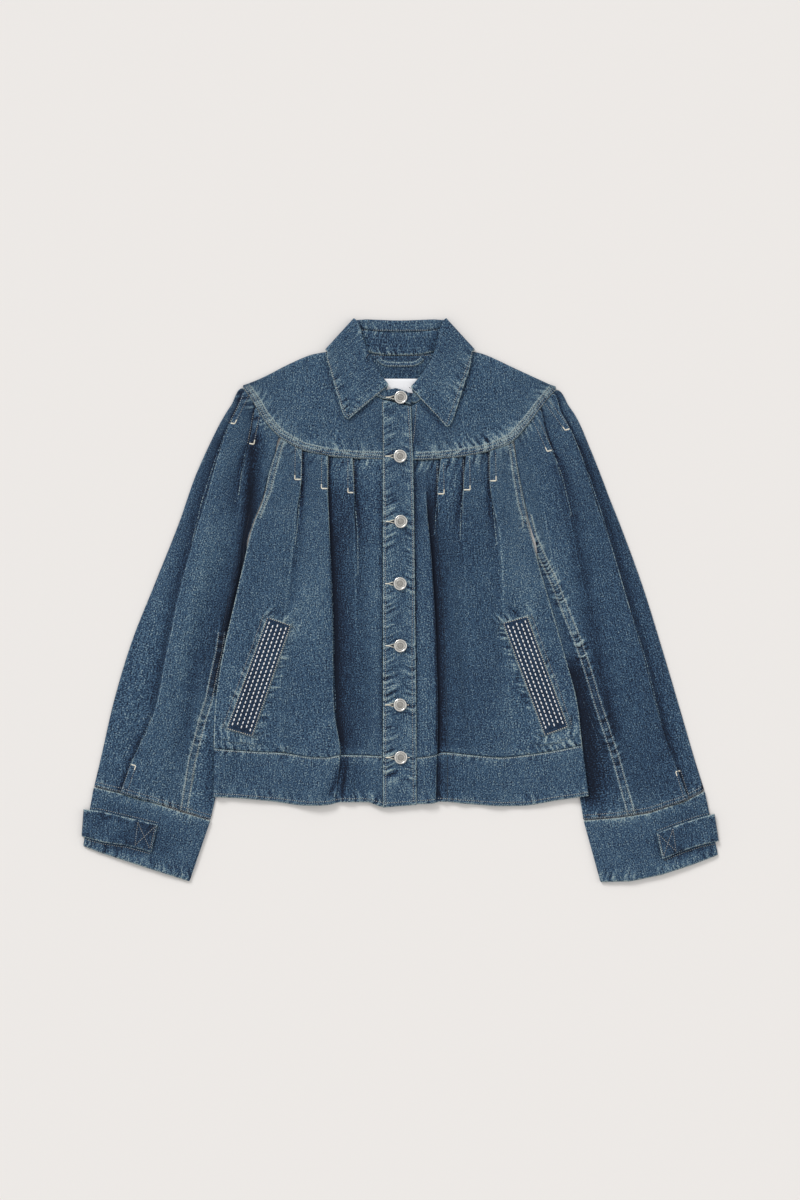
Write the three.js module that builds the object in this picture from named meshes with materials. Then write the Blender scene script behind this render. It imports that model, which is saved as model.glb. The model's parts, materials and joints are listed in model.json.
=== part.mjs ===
// A denim jacket laid flat on its back and buttoned, seen from above.
// Millimetres: +X runs to the viewer's right, +Y towards the collar, +Z up from the surface.
// Right and left are the wearer's, so the right front lies at -X.
import * as THREE from 'three';

const { lerp, clamp, smoothstep } = THREE.MathUtils;

// Driving dimensions.
const CLOTH = 1.2; // one layer of denim
const BAND = 1.8; // a doubled band: hem, placket, cuff
const COLLAR = 1.6; // the doubled collar and its stand
const GAP = 0.3; // between pieces that touch
const PITCH = CLOTH + GAP; // from one lying layer to the next
const FLOOR_LAYER = CLOTH / 2; // middle of a layer that rests on the surface
const SECOND_LAYER = FLOOR_LAYER + PITCH; // middle of the layer on top of it
const SEAT_LEVEL = 3.6; // middle of the cloth at the sleeve head and at the shoulder's seam
const FRONT_FOOT = 2.3; // middle of the front where it lies on the back
const PLEAT_DEPTH = 11; // cloth hidden in a closed pleat
const SLEEVE_UNDER = 3.0; // lift of the body's sides where they lie over the sleeves
const BUTTON_PLACKET_LEVEL = 5.6;
const UNDER_PLACKET_LEVEL = 3.6;
const PLACKET_LEFT = -22.1;
const BUTTON_DIAMETER = 17;
const BUTTON_HEIGHT = 3.4;

const DENIM = { color: 0x3d5770, roughness: 0.92, metalness: 0 };
const SILVER = { color: 0xb9b9b6, roughness: 0.3, metalness: 1 };
const WHITE_TAPE = { color: 0xe9e9ea, roughness: 0.8, metalness: 0 };

// The value of a smooth curve through rows of [place, value], held level past both ends.
function along(rows, place) {
  const last = rows.length - 1;
  if (place <= rows[0][0]) return rows[0][1];
  if (place >= rows[last][0]) return rows[last][1];
  let i = 0;
  while (place > rows[i + 1][0]) i += 1;
  const slope = (a, b) => (rows[b][1] - rows[a][1]) / (rows[b][0] - rows[a][0]);
  const here = slope(i, i + 1);
  const before = i > 0 ? slope(i - 1, i) : here;
  const after = i + 1 < last ? slope(i + 1, i + 2) : here;
  const span = rows[i + 1][0] - rows[i][0];
  const t = (place - rows[i][0]) / span;
  const start = before * here > 0 ? (before + here) / 2 : 0;
  const end = after * here > 0 ? (after + here) / 2 : 0;
  const h00 = (1 + 2 * t) * (1 - t) ** 2;
  const h01 = t * t * (3 - 2 * t);
  return h00 * rows[i][1] + h01 * rows[i + 1][1]
    + span * (t * (1 - t) ** 2 * start - t * t * (1 - t) * end);
}

const bodySign = (side) => (side === 'right' ? -1 : 1);

// One column of a table that has a number for each station.
const column = (stations, values, place) => along(stations.map((s, i) => [s, values[i]]), place);

// Seams that neighbours share, as [x, y].
const YOKE_SEAM = [
  [-204, 275], [-192, 259], [-179, 237], [-166, 221], [-155, 210.5], [-127, 195], [-94, 187.2],
  [-62, 184], [-22, 182.7], [21, 182], [53, 183.3], [86, 187.2], [117, 193.7], [147, 206.5],
  [170, 232.7], [188, 256], [202.5, 272.5],
];
const HEM_SEAM = [
  [-242, -193], [-186, -197.2], [-151, -198.9], [-119, -203.8], [-95, -204.6], [-76, -201.2],
  [-22, -202.8], [21, -204.6], [46, -201.2], [55, -198], [99, -202.2], [132, -204.6],
  [166, -201.2], [199, -196.3], [237, -188.5],
];
const HEM_EDGE = [
  [-242, -256], [-211, -257.4], [-168, -261.3], [-120, -267], [-94, -266.2], [-76, -262.6],
  [-43, -262.6], [-22, -268.5], [22, -265.2], [44, -263.9], [52, -261.9], [92, -265.2],
  [133, -267.7], [166, -266.8], [199, -261], [246, -254.2],
];
// The shoulder fold of the laid jacket, from the sleeve head to the neck and over to the other side.
const SHOULDER = [
  [-204, 278.8], [-179, 288.6], [-149, 304.2], [-116, 318.5], [-101, 321.5], [-94, 322.8],
  [-64, 337.5], [64, 337.5], [94, 322.8], [101, 321.5], [110, 319], [148, 301.6],
  [179, 287.3], [202.5, 276.5],
];
const BACK_NECK = [
  [-64, 337.5], [-54, 325.2], [-33, 318.4], [0, 316.6], [33, 318.4], [54, 325.2], [64, 337.5],
];
const PLACKET_RIGHT = [[-268, 21.4], [-204, 21.4], [0, 19.5], [183, 16.9], [252, 14.3]];
const NECK_HALF_WIDTH = 64;

// Down the body: 0 is the yoke seam, 1 the hem band's seam, HEM the hem's edge.
const HEM = 1.16;
const BODY_STATIONS = [0, 0.1, 0.2, 0.28, 0.4, 0.55, 0.7, 0.85, 1, HEM];
const ARMPIT = 0.28;
const SEAM_HALF = 0.22; // half of a seam's opening, with room for the facets beside it

// Each fold has, at every station: x of its edge, the height of its step and how far it is
// closed, from 0, a soft wave, to 1, a stitched pleat of three layers. It faces the way that
// its edge points. soft is the half width of the wave that it opens into.
const STITCHED = [1, 1, 0.45, 0.1, 0, 0, 0, 0, 0, 0];
const FRONTS = {
  right: {
    side: [-154.7, -169, -178, -191, -203, -217, -230.5, -239.5, -241.8, -241.8],
    folds: [
      { faces: 1, soft: 8, closed: STITCHED,
        edge: [-127.4, -128.3, -132.3, -134, -139, -146, -150, -152, -151, -150],
        step: [3.2, 3.2, 3.2, 3.1, 3, 2.2, 1.2, 0.8, 0.4, 0] },
      { faces: 1, soft: 7, closed: [1, 1, 1, 0.9, 0.7, 0.6, 0.6, 0.6, 0.8, 0.5],
        edge: [-93.6, -94.1, -92.6, -91.2, -88.7, -86.6, -86, -84.5, -77, -84],
        step: [3.2, 3.2, 3.2, 3.2, 3.2, 3.2, 3.2, 3.2, 3.2, 2.6] },
      { faces: 1, soft: 8, closed: STITCHED,
        edge: [-61.8, -59.9, -57.9, -55.8, -54.6, -53.8, -51.9, -50.5, -49.5, -50],
        step: [3.2, 3.2, 3.2, 3, 2.4, 1, 0.4, 0, 0, 0] },
    ],
  },
  left: {
    side: [146.9, 154, 162, 168.5, 180.7, 198, 214.5, 229.5, 236.6, 245],
    folds: [
      { faces: 1, soft: 5, closed: [0, 0.1, 0.5, 0.8, 1, 1, 1, 1, 1, 0.8],
        edge: [33, 34.5, 36.5, 39.4, 42.2, 45.8, 47.6, 49, 48.1, 47],
        step: [0, 0.8, 2.6, 3.2, 3.3, 3.3, 3.3, 3.3, 3.3, 2.8] },
      { faces: -1, soft: 4, closed: [1, 1, 0.2, 0, 0, 0, 0, 0, 0, 0],
        edge: [53.3, 49.4, 49, 53, 57.5, 61, 63, 64.6, 66, 66],
        step: [3.2, 3.2, 2, 0.4, 0, 0, 0, 0, 0, 0] },
      { faces: -1, soft: 8, closed: [1, 1, 0.3, 0, 0, 0, 0, 0, 0, 0],
        edge: [85.8, 82.7, 79.2, 79, 81, 84, 88, 92, 96, 98],
        step: [3.2, 3.2, 2.4, 1.2, 0.6, 0.8, 1, 1, 0.6, 0] },
      { faces: -1, soft: 8, closed: STITCHED,
        edge: [117, 117, 121.5, 126.6, 130, 131, 134, 140, 146, 148],
        step: [3.2, 3.2, 3.2, 3.1, 3, 2, 1, 0.8, 0.6, 0] },
    ],
  },
};
const FRONT_ROWS = [0, 0.05, 0.1, 0.15, 0.2, 0.28, 0.315, 0.35, 0.46, 0.58, 0.7, 0.85, 1];
const BAND_ROWS = [1, 1.05, 1.11, HEM];

// Sleeve lines from the yoke to the cuff, as [x, y] at each station.
const SLEEVE_STATIONS = [0, 0.08, 0.16, 0.23, 0.28, 0.35, 0.5, 0.65, 0.8, 0.92, 1];
const SLEEVE_ARMPIT = 0.23;
const SLEEVES = {
  right: {
    lines: {
      outer: [[-204, 274], [-228, 239], [-248, 200], [-265, 162], [-274, 137], [-286, 102],
        [-317, 24], [-348, -54], [-372, -134], [-387, -200], [-397, -242.5]],
      high: [[-199, 268], [-219, 232], [-235, 191], [-247, 151], [-254, 126], [-265, 91],
        [-287, 12], [-304, -69], [-321, -149], [-348, -210], [-363, -250.5]],
      low: [[-186, 248], [-195, 207], [-205, 166], [-209, 126], [-213, 101], [-217, 66],
        [-230, -13], [-246, -91], [-269, -168], [-286, -229], [-296, -270]],
      inner: [[-171, 226], [-182, 183], [-194, 144], [-200, 106], [-205, 82], [-208, 48],
        [-224, -26], [-241, -101], [-262, -175], [-274, -235], [-283, -274.5]],
      edge: [[-155.2, 209.8], [-168.6, 172], [-178.6, 133], [-192.6, 97], [-199.5, 72], [-199, 44],
        [-202, -36], [-209.5, -112], [-221, -187], [-237, -245], [-247, -285.5]],
    },
    folds: [
      { line: 'high', faces: -1, soft: 7, closed: [1, 1, 0.8, 0.5, 0.4, 0.4, 0.3, 0.3, 0.4, 0.8, 1],
        step: [3.2, 3.2, 3.2, 3.2, 3.1, 3, 2.8, 2.8, 3, 3.2, 3.2] },
      { line: 'low', faces: -1, soft: 8, closed: [1, 1, 0.3, 0, 0, 0, 0, 0, 0, 0, 0],
        step: [3.2, 3.2, 3, 2.4, 2, 1.6, 0.8, 0.6, 0.6, 0.4, 0] },
      { line: 'inner', faces: 1, soft: 4, closed: [0, 0, 0, 0, 0, 0, 0, 0, 0, 0, 0],
        step: [1, 1.6, 2.4, 3, 3.2, 3.2, 3, 2, 1.6, 1.2, 1] },
    ],
  },
  left: {
    lines: {
      outer: [[203, 272], [228, 238.5], [246, 198], [262, 158], [271, 134], [285, 99],
        [314, 20], [339, -60], [363, -141], [382, -206], [395, -247.5]],
      high: [[196, 264], [218, 227], [236, 187], [249, 147], [257, 122], [270, 87],
        [294, 7], [317, -73], [338, -154], [359, -217], [374, -258.5]],
      low: [[180, 245], [194, 204], [209, 163], [220, 124], [225, 99], [232, 63],
        [248, -16], [270, -94], [295, -171], [313, -234], [325, -275.5]],
      inner: [[161, 223], [171, 182], [181, 143], [187, 104], [192, 80], [198, 45],
        [214, -34], [236, -112], [262, -180], [281, -241], [284, -282]],
      edge: [[147.2, 205.8], [154.8, 165], [162.8, 126], [170.4, 94], [177.6, 70], [179, 44],
        [188, -30], [205, -105], [218.5, -183], [232, -245], [239, -285.8]],
    },
    folds: [
      { line: 'high', faces: 1, soft: 7, closed: [1, 1, 0.8, 0.5, 0.4, 0.4, 0.3, 0.3, 0.4, 0.8, 1],
        step: [3.2, 3.2, 3.2, 3.2, 3.1, 3, 2.8, 2.8, 3, 3.2, 3.2] },
      { line: 'low', faces: 1, soft: 8, closed: [1, 1, 0.3, 0, 0, 0, 0, 0, 0, 0, 0],
        step: [3.2, 3.2, 3, 2.4, 2, 1.6, 0.8, 0.6, 0.6, 0.4, 0] },
      { line: 'inner', faces: -1, soft: 4, closed: [0, 0, 0, 0, 0, 0, 0, 0, 0, 0, 0],
        step: [1, 1.2, 1.6, 2, 2, 2, 1.6, 1.6, 1.8, 1.6, 1] },
    ],
  },
};
const SLEEVE_ROWS = [0, 0.05, 0.11, 0.17, 0.23, 0.28, 0.35, 0.45, 0.56, 0.68, 0.8, 0.9, 1];
const SLEEVE_LOFT = 1.2;

// Cuffs: the seam and the hem from the outer edge to the inner, as [x, y], and the tab's corners.
const CUFFS = {
  right: {
    seam: [[-397.2, -243.1], [-362.7, -250.9], [-325, -261.3], [-286, -274.6], [-247, -286]],
    hem: [[-411, -319.8], [-387, -329], [-347, -342], [-310, -354], [-274.3, -365.3]],
    tabTop: [[-411, -271.7], [-388.7, -274.3], [-349.7, -283.4], [-314.6, -291.7]],
    tabBottom: [[-413.5, -306.8], [-387.4, -314.1], [-352.7, -319], [-322.9, -327.3]],
  },
  left: {
    seam: [[395.2, -248.3], [374.4, -259.2], [323.7, -276.6], [280.8, -283], [239.2, -286.2]],
    hem: [[412.5, -331.5], [380, -344], [340, -357], [300, -365.4], [261.3, -366.5]],
    tabTop: [[408.5, -277.6], [388, -283], [362, -291.5], [333.2, -302.5]],
    tabBottom: [[414, -313.3], [392, -317.5], [366, -326], [340.6, -336.4]],
  },
};
const CUFF_LOFT = 1.2;
const CUFF_ROWS = [0, 0.33, 0.67, 1];

// Pocket welts by their four corners, from the top inner one round to the top outer one.
const WELTS = {
  right: { topInner: [-140.4, -32.1], topOuter: [-172.9, -20.8],
    bottomInner: [-191.1, -178.6], bottomOuter: [-226.2, -167.7] },
  left: { topInner: [132.2, -29.2], topOuter: [166, -19.5],
    bottomInner: [187.2, -177.3], bottomOuter: [219.6, -165.1] },
};

// Collar stations from each front end to the shoulder, then across the back.
// neck is the seam on the yoke, roll the fold, edge the outer edge of the turned-down leaf.
const COLLAR_FRONTS = {
  right: [
    { neck: [-22, 261.3], roll: [-15.6, 278], edge: [-67, 234.5], level: 5.9 },
    { neck: [-29, 264], roll: [-20, 284], edge: [-72, 238], level: 6.0 },
    { neck: [-42, 270.5], roll: [-28, 295], edge: [-79, 258], level: 6.0 },
    { neck: [-55, 284], roll: [-38, 312], edge: [-86, 282], level: 6.0 },
    { neck: [-63, 301], roll: [-46.5, 332], edge: [-92, 303], level: 6.0 },
    { neck: [-66.5, 322], roll: [-53, 352], edge: [-95, 315], level: 6.0 },
  ],
  left: [
    { neck: [20.8, 256], roll: [10.4, 276.9], edge: [60.5, 224.5], level: 3.8 },
    { neck: [28, 260.5], roll: [17, 283], edge: [66, 228], level: 5.2 },
    { neck: [42, 269], roll: [27, 295], edge: [74, 250], level: 6.0 },
    { neck: [55, 284], roll: [37.5, 312], edge: [83.5, 280], level: 6.0 },
    { neck: [63, 301], roll: [46, 332], edge: [91, 303], level: 6.0 },
    { neck: [66.5, 322], roll: [53, 352], edge: [93, 316], level: 6.0 },
  ],
};
const COLLAR_SIDE = { neck: [-63, 338.5], roll: [-58, 362.5], edge: [-94.5, 322.5] };
const COLLAR_BACK = [
  { neck: [-54, 326.8], roll: [-45, 363], edge: [-72, 313] },
  { neck: [-33, 319.8], roll: [-27, 362.4], edge: [-38, 307] },
  { neck: [0, 317.8], roll: [0, 361.6], edge: [0, 305] },
];
const COLLAR_FRONT_LEVEL = 6.0;
const COLLAR_BACK_LEVEL = 2.7;
const LEAF_RISE = COLLAR + GAP; // from the stand's side of the leaf to its turned-down side
const LEAF_FRONT_LEVEL = 8.1; // middle of the turned-down leaf on the fronts
const STAND_SHARE = 0.68; // the stand's share of the way from the neck seam to the roll
const SIDE_OUTWARD = [-0.73, 0.68];
const TAB_STATIONS = [
  { neck: [14, 253.6], top: [15.4, 262.5], level: 5.6 },
  { neck: [6, 256], top: [9, 270.6], level: 5.6 },
  { neck: [-8, 259.5], top: [-5, 275.2], level: 5.6 },
];
const UNDER_TAB = { neck: [-8, 259.5], top: [-6, 272], level: 3.6 };
// The x where the yoke column that starts at each collar station meets the yoke seam.
const NECK_FEET = { right: [-22.4, -31, -42, -54, -66, -76], left: [13.9, 30, 44, 56, 68, 78] };

// Closed wall of cloth. points is a grid of rows of {x, y, z, n}: a place on the middle of the
// cloth and the direction out of it. ring joins the last column to the first. open says which
// cells are left out.
function wall(points, thickness, { ring = false, open = () => false } = {}) {
  const rows = points.length;
  const columns = points[0].length;
  const cellColumns = ring ? columns : columns - 1;
  const has = (i, j) => {
    if (i < 0 || i >= rows - 1) return false;
    if (!ring && (j < 0 || j >= cellColumns)) return false;
    return !open(i, (j + cellColumns) % cellColumns);
  };
  const positions = [];
  const index = new Map();
  const vertex = (i, j, side) => {
    const jj = ring ? (j + columns) % columns : j;
    const key = (i * columns + jj) * 2 + (side > 0 ? 1 : 0);
    if (!index.has(key)) {
      const p = points[i][jj];
      const reach = (side * thickness) / 2;
      index.set(key, positions.length / 3);
      positions.push(p.x + p.n[0] * reach, p.y + p.n[1] * reach, p.z + p.n[2] * reach);
    }
    return index.get(key);
  };
  const faces = [];
  const quad = (a, b, c, d) => faces.push(a, b, c, a, c, d);
  for (let i = 0; i < rows - 1; i += 1) {
    for (let j = 0; j < cellColumns; j += 1) {
      if (!has(i, j)) continue;
      const corner = (di, dj, side) => vertex(i + di, j + dj, side);
      quad(corner(0, 0, 1), corner(1, 0, 1), corner(1, 1, 1), corner(0, 1, 1));
      quad(corner(0, 0, -1), corner(0, 1, -1), corner(1, 1, -1), corner(1, 0, -1));
      const side = (di0, dj0, di1, dj1) => quad(corner(di1, dj1, 1), corner(di0, dj0, 1),
        corner(di0, dj0, -1), corner(di1, dj1, -1));
      if (!has(i - 1, j)) side(0, 1, 0, 0);
      if (!has(i + 1, j)) side(1, 0, 1, 1);
      if (!has(i, j - 1)) side(0, 0, 1, 0);
      if (!has(i, j + 1)) side(1, 1, 0, 1);
    }
  }
  const geometry = new THREE.BufferGeometry();
  geometry.setAttribute('position', new THREE.Float32BufferAttribute(positions, 3));
  geometry.setIndex(facingOut(positions, faces));
  geometry.computeVertexNormals();
  return geometry;
}

// The faces, turned round where the volume they enclose comes out negative.
function facingOut(positions, faces) {
  const at = (k) => new THREE.Vector3().fromArray(positions, 3 * k);
  let volume = 0;
  for (let k = 0; k < faces.length; k += 3) {
    const cross = at(faces[k + 1]).cross(at(faces[k + 2]));
    volume += at(faces[k]).dot(cross);
  }
  if (volume > 0) return faces;
  const turned = [];
  for (let k = 0; k < faces.length; k += 3) turned.push(faces[k], faces[k + 2], faces[k + 1]);
  return turned;
}

// Directions out of the cloth for rows of {x, y, z, way}, each in its row's own upright plane.
function withNormals(grid, ring = false) {
  return grid.map((row) => row.map((p, j) => {
    const last = row.length - 1;
    const before = row[j > 0 ? j - 1 : (ring ? last : 0)];
    const after = row[j < last ? j + 1 : (ring ? 0 : last)];
    const run = (after.x - before.x) * p.way[0] + (after.y - before.y) * p.way[1];
    const rise = after.z - before.z;
    const length = Math.hypot(run, rise) || 1;
    const tilt = -rise / length;
    return { x: p.x, y: p.y, z: p.z, n: [tilt * p.way[0], tilt * p.way[1], run / length] };
  }));
}

const FOLD_SWELL = 0.3; // how much the cloth rounds up between two folds
const LIFT_RUN = 16; // the width over which the body comes down beside a sleeve

// The eight points of one fold as [distance past its edge, height over its foot].
function foldPoints({ step, closed, soft }) {
  const layer = step / 2;
  const r = layer / 2;
  const tight = [[-r - 3, step], [-r, step], [0, step - r], [-r, layer], [-PLEAT_DEPTH + r, layer],
    [-PLEAT_DEPTH, r], [-PLEAT_DEPTH + r, 0], [3, 0]];
  return tight.map(([x, z], i) => {
    const t = i / (tight.length - 1);
    const wave = [(2 * t - 1) * soft, step * (1 - smoothstep(t, 0, 1))];
    return [lerp(wave[0], x, closed), lerp(wave[1], z, closed)];
  });
}

// One section of folded cloth from start to end, each {at, level}, as [place, height] points.
// Between its folds it has a few evenly placed points, and near an end those at the distances
// that the end names in stops.
function foldedSection(start, end, folds, foot, between) {
  const section = [[start.at, start.level]];
  const even = Array.from({ length: between }, (_, k) => (k + 1) / (between + 1));
  const leadTo = (place, level, puff, shares) => {
    const [from, height] = section[section.length - 1];
    shares.forEach((t) => {
      const swell = puff * Math.sin(Math.PI * t);
      section.push([lerp(from, place, t), lerp(height, level, smoothstep(t, 0, 1)) + swell]);
    });
  };
  const stopShares = (stops, width) => stops.map((stop) => stop / width);
  folds.forEach((fold, i) => {
    let points = foldPoints(fold).map(([x, z]) => [fold.edge + fold.faces * x, foot + z]);
    if (fold.faces < 0) points = points.reverse();
    const width = points[0][0] - start.at;
    const shares = i === 0 && start.stops ? stopShares(start.stops, width) : even;
    leadTo(points[0][0], points[0][1], FOLD_SWELL, shares);
    section.push(...points);
  });
  const width = end.at - section[section.length - 1][0];
  const shares = end.stops ? stopShares(end.stops, width).map((t) => 1 - t).reverse() : even;
  leadTo(end.at, end.level, FOLD_SWELL, shares);
  section.push([end.at, end.level]);
  return section;
}

// The yoke seam at x, moved up or down to leave the seam open by the same width all along.
function seamSide(x, up) {
  const slope = (along(YOKE_SEAM, x + 2) - along(YOKE_SEAM, x - 2)) / 4;
  return along(YOKE_SEAM, x) + up * SEAM_HALF * Math.hypot(1, slope);
}

// Height of the seam line at x, at a station down the body.
function bodyY(x, v) {
  const top = seamSide(clamp(x, -155, 147), -1);
  const seam = along(HEM_SEAM, x);
  if (v <= 1) return lerp(top, seam + SEAM_HALF, v);
  return lerp(seam, along(HEM_EDGE, x), (v - 1) / (HEM - 1));
}

const sideX = (side, v) => column(BODY_STATIONS, FRONTS[side].side, v);

// How far a sleeve's inner edge reaches in under the body's side.
function overlapAt(side, v) {
  const x = sideX(side, v);
  const upwards = [...SLEEVES[side].lines.edge].reverse().map(([edgeX, edgeY]) => [edgeY, edgeX]);
  return (along(upwards, bodyY(x, v)) - x) * -bodySign(side);
}

// Lift of the body where it lies over a sleeve, at a distance in from the side edge.
function sleeveLift(side, v, inward) {
  const down = smoothstep(v, ARMPIT, ARMPIT + 0.07);
  const reach = liftReach(side, v);
  return SLEEVE_UNDER * down * (1 - smoothstep(inward, reach, reach + LIFT_RUN));
}
const liftReach = (side, v) => Math.max(overlapAt(side, v), 0) + 3;
function liftStops(side, v) {
  const reach = liftReach(side, v);
  return [reach / 2, reach, reach + 5, reach + 11, reach + LIFT_RUN];
}

// A row of a front or of its hem band, from the edge at the lower x to the edge at the higher x.
function frontRow(side, v, isBand) {
  const foot = FRONT_FOOT + (isBand ? 0.9 : 0);
  const folds = FRONTS[side].folds.map((fold) => ({
    faces: fold.faces,
    soft: fold.soft,
    edge: column(BODY_STATIONS, fold.edge, v),
    step: column(BODY_STATIONS, fold.step, v) * (isBand ? 0.8 : 1),
    closed: isBand ? 0 : column(BODY_STATIONS, fold.closed, v),
  }));
  const sideLevel = lerp(SEAT_LEVEL, SECOND_LAYER, smoothstep(v, 0.08, ARMPIT - 0.04));
  const bandRise = BAND * 1.5 + GAP - SECOND_LAYER; // the doubled hem lies on a doubled hem
  const sideEnd = {
    at: sideX(side, v),
    level: sideLevel + (isBand ? bandRise : 0),
    stops: liftStops(side, v),
  };
  const underEdge = along(PLACKET_RIGHT, bodyY(20, v)) - 3;
  const middle = side === 'right'
    ? { at: PLACKET_LEFT - GAP, level: 5.0 }
    : { at: underEdge, level: UNDER_PLACKET_LEVEL - 0.1, stops: [4, 7] };
  const [start, end] = side === 'right' ? [sideEnd, middle] : [middle, sideEnd];
  return foldedSection(start, end, folds, foot, 3).map(([x, z]) => {
    const y = bodyY(x, v);
    const slope = (bodyY(x + 1, v) - bodyY(x - 1, v)) / 2;
    const length = Math.hypot(1, slope);
    const inward = Math.abs(x - sideEnd.at);
    return { x, y, z: z + sleeveLift(side, v, inward), way: [1 / length, slope / length] };
  });
}

// Middle height of a front at a place clear of its closed pleats.
function frontHeight(side, x, y) {
  const top = bodyY(x, 0);
  const v = (top - y) / (top - bodyY(x, 1));
  const row = frontRow(side, v, false);
  const k = row.findIndex((p, i) => i > 0 && row[i - 1].x <= x && x <= p.x);
  const t = (x - row[k - 1].x) / (row[k].x - row[k - 1].x);
  return lerp(row[k - 1].z, row[k].z, t);
}

const front = (side) => wall(withNormals(FRONT_ROWS.map((v) => frontRow(side, v, false))), CLOTH);

function frontHemBand(side) {
  const rows = BAND_ROWS.map((v) => frontRow(side, v + 1e-4, true));
  rows[0].forEach((p) => { p.y -= SEAM_HALF; });
  return wall(withNormals(rows), BAND);
}

// The back, from side to side.
function backRow(v, level) {
  const [west, east] = [sideX('right', v), sideX('left', v)];
  const [westStops, eastStops] = [liftStops('right', v), liftStops('left', v)];
  const [start, end] = [west + westStops[4], east - eastStops[4]];
  const inside = Array.from({ length: 11 }, (_, k) => {
    const even = (k + 1) / 12;
    return lerp(start, end, lerp(even, (1 - Math.cos(Math.PI * even)) / 2, 0.6));
  });
  const places = [west, ...westStops.map((d) => west + d), ...inside,
    ...eastStops.map((d) => east - d).reverse(), east];
  return places.map((x) => {
    const lift = sleeveLift('right', v, x - west) + sleeveLift('left', v, east - x);
    return { x, y: bodyY(x, v), z: level + lift, way: [1, 0] };
  });
}

const BACK_SEAM_DROP = 0.4; // the back's hem seam lies a little lower than the fronts'
function backPanel() {
  const stations = [0, 0.1, 0.2, 0.28, 0.315, 0.35, 0.45, 0.58, 0.7, 0.85, 1];
  const rows = stations.map((v) => backRow(v, FLOOR_LAYER));
  rows[rows.length - 1].forEach((p) => { p.y -= BACK_SEAM_DROP; });
  return wall(withNormals(rows), CLOTH);
}

function backHemBand() {
  const rows = BAND_ROWS.map((v) => backRow(v + 1e-4, BAND / 2));
  rows[0].forEach((p) => { p.y -= SEAM_HALF + BACK_SEAM_DROP; });
  return wall(withNormals(rows), BAND);
}

// How far the back yoke is lifted by the collar leaf that lies under it, from 0 to 1.
const leafBackEdge = (x) => 302 + 0.0018 * x * x;
function overLeaf(x, y) {
  const edge = leafBackEdge(x);
  return smoothstep(y, edge - 13, edge - 1) * (1 - smoothstep(Math.abs(x), 99, 113));
}
const backYokeLevel = (x, y) => FLOOR_LAYER + (COLLAR + GAP) * overLeaf(x, y);

function backYoke() {
  const half = [17, 33, 44, 54, 59.5, 64, 72, 82, 94, 101, 112, 126, 140, 155, 166, 179, 192];
  const places = [-204, ...[...half].reverse().map((x) => -x), 0, ...half, 202.5];
  const topAt = (x) => (Math.abs(x) < NECK_HALF_WIDTH ? along(BACK_NECK, x) : along(SHOULDER, x));
  const columns = places.map((x) => {
    const [top, bottom] = [topAt(x), seamSide(x, 1)];
    const edge = Math.min(leafBackEdge(x), lerp(top, bottom, 0.06));
    const low = Math.min(edge - 13, lerp(top, bottom, 0.3));
    return [top, edge - 1, lerp(edge - 1, low, 0.45), low, bottom].map((y) => (
      { x, y: Math.max(y, bottom), z: backYokeLevel(x, y), way: [1, 0] }));
  });
  const rows = columns[0].map((_, i) => columns.map((column) => column[i]));
  return wall(withNormals(rows), CLOTH);
}

// Front yoke columns at the shoulder: a point on it with its level, the x where the column
// meets the yoke seam, and the level there. The other columns start at the collar's stations.
const YOKE_SHOULDERS = [
  { top: [204, 278.8], level: 2.1, foot: 203.7, low: 2.4 },
  { top: [196, 281.6], level: 2.1, foot: 197, low: 2.8 },
  { top: [184, 286.4], level: 2.1, foot: 186, low: 3.4 },
  { top: [170, 293], level: 2.1, foot: 174, low: 3.9 },
  { top: [149.5, 303], level: 2.2, foot: 155, low: 4.4 },
  { top: [118, 317.6], level: 2.8, foot: 130, low: 4.6 },
  { top: [94, 322.4], level: 3.9, foot: 108, low: 4.6 },
  { top: [66, 335.6], level: 5.0, foot: 90, low: 4.6 },
];
const YOKE_LOW_LEVEL = 4.6;
const EAST_SHOULDER_SHIFT = -1.5; // the wearer's left sleeve head lies a little nearer

function yokeColumns(side) {
  const sign = bodySign(side);
  const shift = side === 'left' ? EAST_SHOULDER_SHIFT : 0;
  const shoulder = YOKE_SHOULDERS.map((s) => ({
    ...s, top: [sign * s.top[0] + shift, s.top[1] + shift], foot: sign * s.foot + shift,
  }));
  const neck = COLLAR_FRONTS[side].map((s, i) => {
    const away = [s.neck[0] - s.roll[0], s.neck[1] - s.roll[1]];
    const length = Math.hypot(...away);
    const top = s.neck.map((c, axis) => c + (away[axis] / length) * 0.5);
    return { top, level: Math.min(s.level, 5.7), foot: NECK_FEET[side][i], low: YOKE_LOW_LEVEL };
  });
  const middle = side === 'right'
    ? [{ ...neck[0], top: [PLACKET_LEFT - GAP, 260.4], level: 5.0, low: 5.0 }]
    : [{ top: [13.8, 251.5], level: 3.6, foot: 13.9, low: 3.6 },
      { top: [18, 253.2], level: 3.6, foot: 19, low: 3.7 }];
  return [...shoulder, ...neck.slice(1).reverse(), ...middle.reverse()];
}

function frontYoke(side) {
  const stations = yokeColumns(side);
  const down = [0, 0.15, 0.4, 0.7, 1];
  const rows = down.map((v) => stations.map((s) => {
    const y = lerp(s.top[1], seamSide(s.foot, 1), v);
    const puff = 0.25 * Math.sin(Math.PI * v);
    return { x: lerp(s.top[0], s.foot, v), y, z: lerp(s.level, s.low, smoothstep(v, 0, 1)) + puff };
  }));
  rows.forEach((row) => row.forEach((p, j) => {
    const before = row[Math.max(j - 1, 0)];
    const after = row[Math.min(j + 1, row.length - 1)];
    const length = Math.hypot(after.x - before.x, after.y - before.y);
    p.way = [(after.x - before.x) / length, (after.y - before.y) / length];
  }));
  return wall(withNormals(rows), CLOTH);
}

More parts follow.
